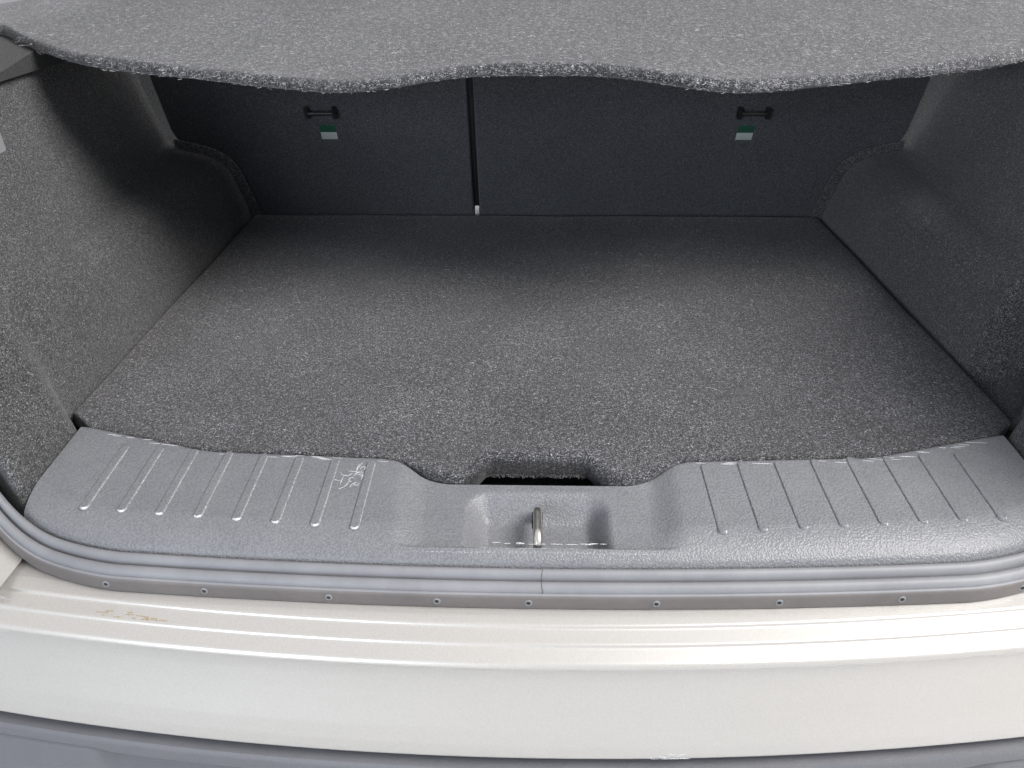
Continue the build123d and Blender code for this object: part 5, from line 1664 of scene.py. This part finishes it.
fibres = []
for _ in range(900):
    px = rng.uniform(-655, 655)
    py = float(smooth_curve(SHELF_WAVE, np.array([abs(px)]))[0]) + rng.uniform(-0.5, 3)
    pz = float(shelf_top(py)) - rng.uniform(4, 12)
    heading = math.radians(rng.uniform(200, 340))
    path = curled((px, py + 1.5, pz), heading, rng.uniform(3, 6.5), rng.uniform(-1.6, 1.6), -0.25, 4)
    fibres.append(tube(path, 0.17, 3))
for _ in range(160):
    px, py = rng.uniform(-640, 640), rng.uniform(-540, -290)
    pz = float(shelf_top(py)) + 1.2
    path = curled((px, py, pz), rng.uniform(0, 6.3), rng.uniform(3, 10), rng.uniform(-4, 4), 0.3)
    fibres.append(tube(path, 0.15, 3))
make_piece("shelf_edge_fringe", *joined(fibres), lint, "shelf_felt", body="shelf_board", solid=True)

fibres = []
for _ in range(260):
    px = rng.uniform(-52, 52)
    root = (px, GRIP_Y + rng.uniform(0, 2.5), BOARD_LOW + 2.5 + rng.uniform(-2, 1))
    heading = math.radians(rng.uniform(230, 310))
    path = curled(root, heading, rng.uniform(1.5, 4), rng.uniform(-2, 2), -0.4, 3)
    fibres.append(tube(path, 0.2, 3))
make_piece("scoop_edge_fibres", *joined(fibres), dark_lint, "floor_carpet", body="floor_board", solid=True)

# %% [markdown]
# ## Scratches
# Luggage has scraped the sill and the bumper. On grey plastic a scratch turns white, on paint it shows the
# pale primer, and an old drip has dried brown. Each mark is a hair-thin ridge that lies on the surface. The
# real ones are 0.1 mm wide and are drawn at 0.5 mm so that they show.


# %% Scratches
def mark(places, surface):
    """A thin ridge through places in two coordinates, laid on a surface."""
    path = np.array([surface(a, b) for a, b in places])
    width = 0.12 + 0.22 * np.sin(np.linspace(0.15, math.pi - 0.15, len(path)))
    return tube(path, width, 5)


def on_deck(x, y):
    """A place on the sill trim."""
    return x, y, float(deck_height(y)) + 0.15


def on_ledge(x, inward):
    """A place on the painted ledge, by its distance from the rear."""
    height = np.interp(inward, [3, 15, 16.2, 30, 31.5, 45], [74.5, 78.4, 80.8, 83.4, 86, 87.7])
    return x, float(bow_y(x, COVER_REAR + inward)), height + 0.2


def on_low_edge(x, z):
    """A place on the paint's lower edge."""
    inward = np.interp(z, [-34, -22, -8], [-9, -17, -16])
    return x, float(bow_y(x, COVER_REAR + inward)) - 0.2, z


dice = np.random.default_rng(31)
marks = []
# A scribble beside the recess
for _ in range(15):
    start = np.array([dice.uniform(-186, -168), dice.uniform(-884, -860)])
    turn, heading = dice.normal(0, 0.5), dice.uniform(0, 2 * math.pi)
    steps = [start]
    for step in range(7):
        toward = np.array([math.cos(heading + turn * step), math.sin(heading + turn * step)])
        steps.append(steps[-1] + dice.uniform(0.8, 2.8) * toward)
    marks.append(mark(steps, on_deck))
# Short marks along the front edge, then at the recess's rear edge
for _ in range(46):
    x = dice.choice([-1, 1]) * dice.uniform(150, 460)
    y = float(sill_front(np.array([x]))[0]) - dice.uniform(2.5, 7.0)
    marks.append(mark([(x + t * dice.uniform(5, 9), y - 0.4 * t) for t in (0, 0.5, 1.0, 1.5)], on_deck))
for _ in range(18):
    x, inward = dice.uniform(-62, 62), dice.uniform(-2, 2)
    marks.append(mark([(x + t * dice.uniform(3, 8), -957.5 + inward * 0.4) for t in (0, 0.5, 1.0)], on_deck))
make_piece("sill_scratches", *joined(marks), stress_white, "trim_plastic", solid=True)
marks = []
for _ in range(20):
    x, z = dice.uniform(92, 124), dice.uniform(-27, -16)
    places = [(x + t * dice.uniform(4, 9), z + t * dice.uniform(0, 2.2)) for t in (0, 0.5, 1.0)]
    marks.append(mark(places, on_low_edge))
make_piece("bumper_scratches", *joined(marks), stress_white, "body_paint", solid=True)
marks = []
for _ in range(16):
    x, inward = dice.normal(-345, 14), dice.uniform(18, 24)
    marks.append(mark([(x + t * dice.uniform(3, 8), inward + 0.3 * t) for t in (0, 0.5, 1.0)], on_ledge))
make_piece("bumper_dried_drip", *joined(marks), dried_dirt, "body_paint", solid=True)

# %% [markdown]
# ## Studio
# A pale floor under the section and soft light from above and behind the camera, as in a large tent.
# The boot's depth then darkens by itself, as it does in the photograph.

# %% Studio
FLOOR_SIZE = 30.0
low = min(corner[2] for corner in cad_box)
half = FLOOR_SIZE / 2
mesh = bpy.data.meshes.new("studio_floor")
mesh.from_pydata([(x, y, low) for x, y in corners_of(-half, half, -half, half)], [], [(0, 1, 2, 3)])
studio_floor = bpy.data.objects.new("studio_floor", mesh)
bpy.context.scene.collection.objects.link(studio_floor)
floor_paint, tree, shader, place = start_material("studio_floor_paint", Roughness=0.8)
shader.inputs["Base Color"].default_value = linear("#e6e6e4")
ray = node(tree, "LightPath")
shader.inputs["Emission Color"].default_value = (1, 1, 1, 1)
brighter = maths(tree, "MULTIPLY", ray.outputs["Is Camera Ray"], 0.55)
tree.links.new(brighter, shader.inputs["Emission Strength"])
mesh.materials.append(floor_paint)

world = bpy.data.worlds.new("studio")
bpy.context.scene.world = world
world.use_nodes = True
tree = world.node_tree
sky = tree.nodes["Background"]
ray = node(tree, "LightPath")
seen = maths(tree, "MAXIMUM", ray.outputs["Is Camera Ray"], ray.outputs["Is Glossy Ray"])
seen = maths(tree, "MAXIMUM", seen, ray.outputs["Is Transmission Ray"])
glow = node(tree, "Mix", {"Factor": seen, "A": (0.225, 0.24, 0.27, 1), "B": (1, 1, 1, 1)},
            data_type="RGBA")
tree.links.new(glow.outputs["Result"], sky.inputs["Color"])


def softbox(name, place, target, size, watts, tint):
    """A square lamp that faces a point."""
    lamp = bpy.data.lights.new(name, "AREA")
    lamp.size = size
    lamp.energy = watts
    lamp.color = tint
    holder = bpy.data.objects.new(name, lamp)
    holder.location = place
    holder.rotation_euler = (Vector(target) - Vector(place)).to_track_quat("-Z", "Y").to_euler()
    bpy.context.scene.collection.objects.link(holder)


softbox("softbox_key", (2.05, -1.5, 2.55), (0.1, -0.8, 0.1), 1.6, 158, (1.0, 0.965, 0.935))
softbox("softbox_fill", (-1.2, -3.2, 0.8), (0, -0.6, 0.2), 1.0, 34, (0.82, 0.9, 1.0))
softbox("softbox_front", (0, 3.2, 1.3), (0, 0.1, 0.1), 1.6, 38, (1.0, 1.0, 1.0))
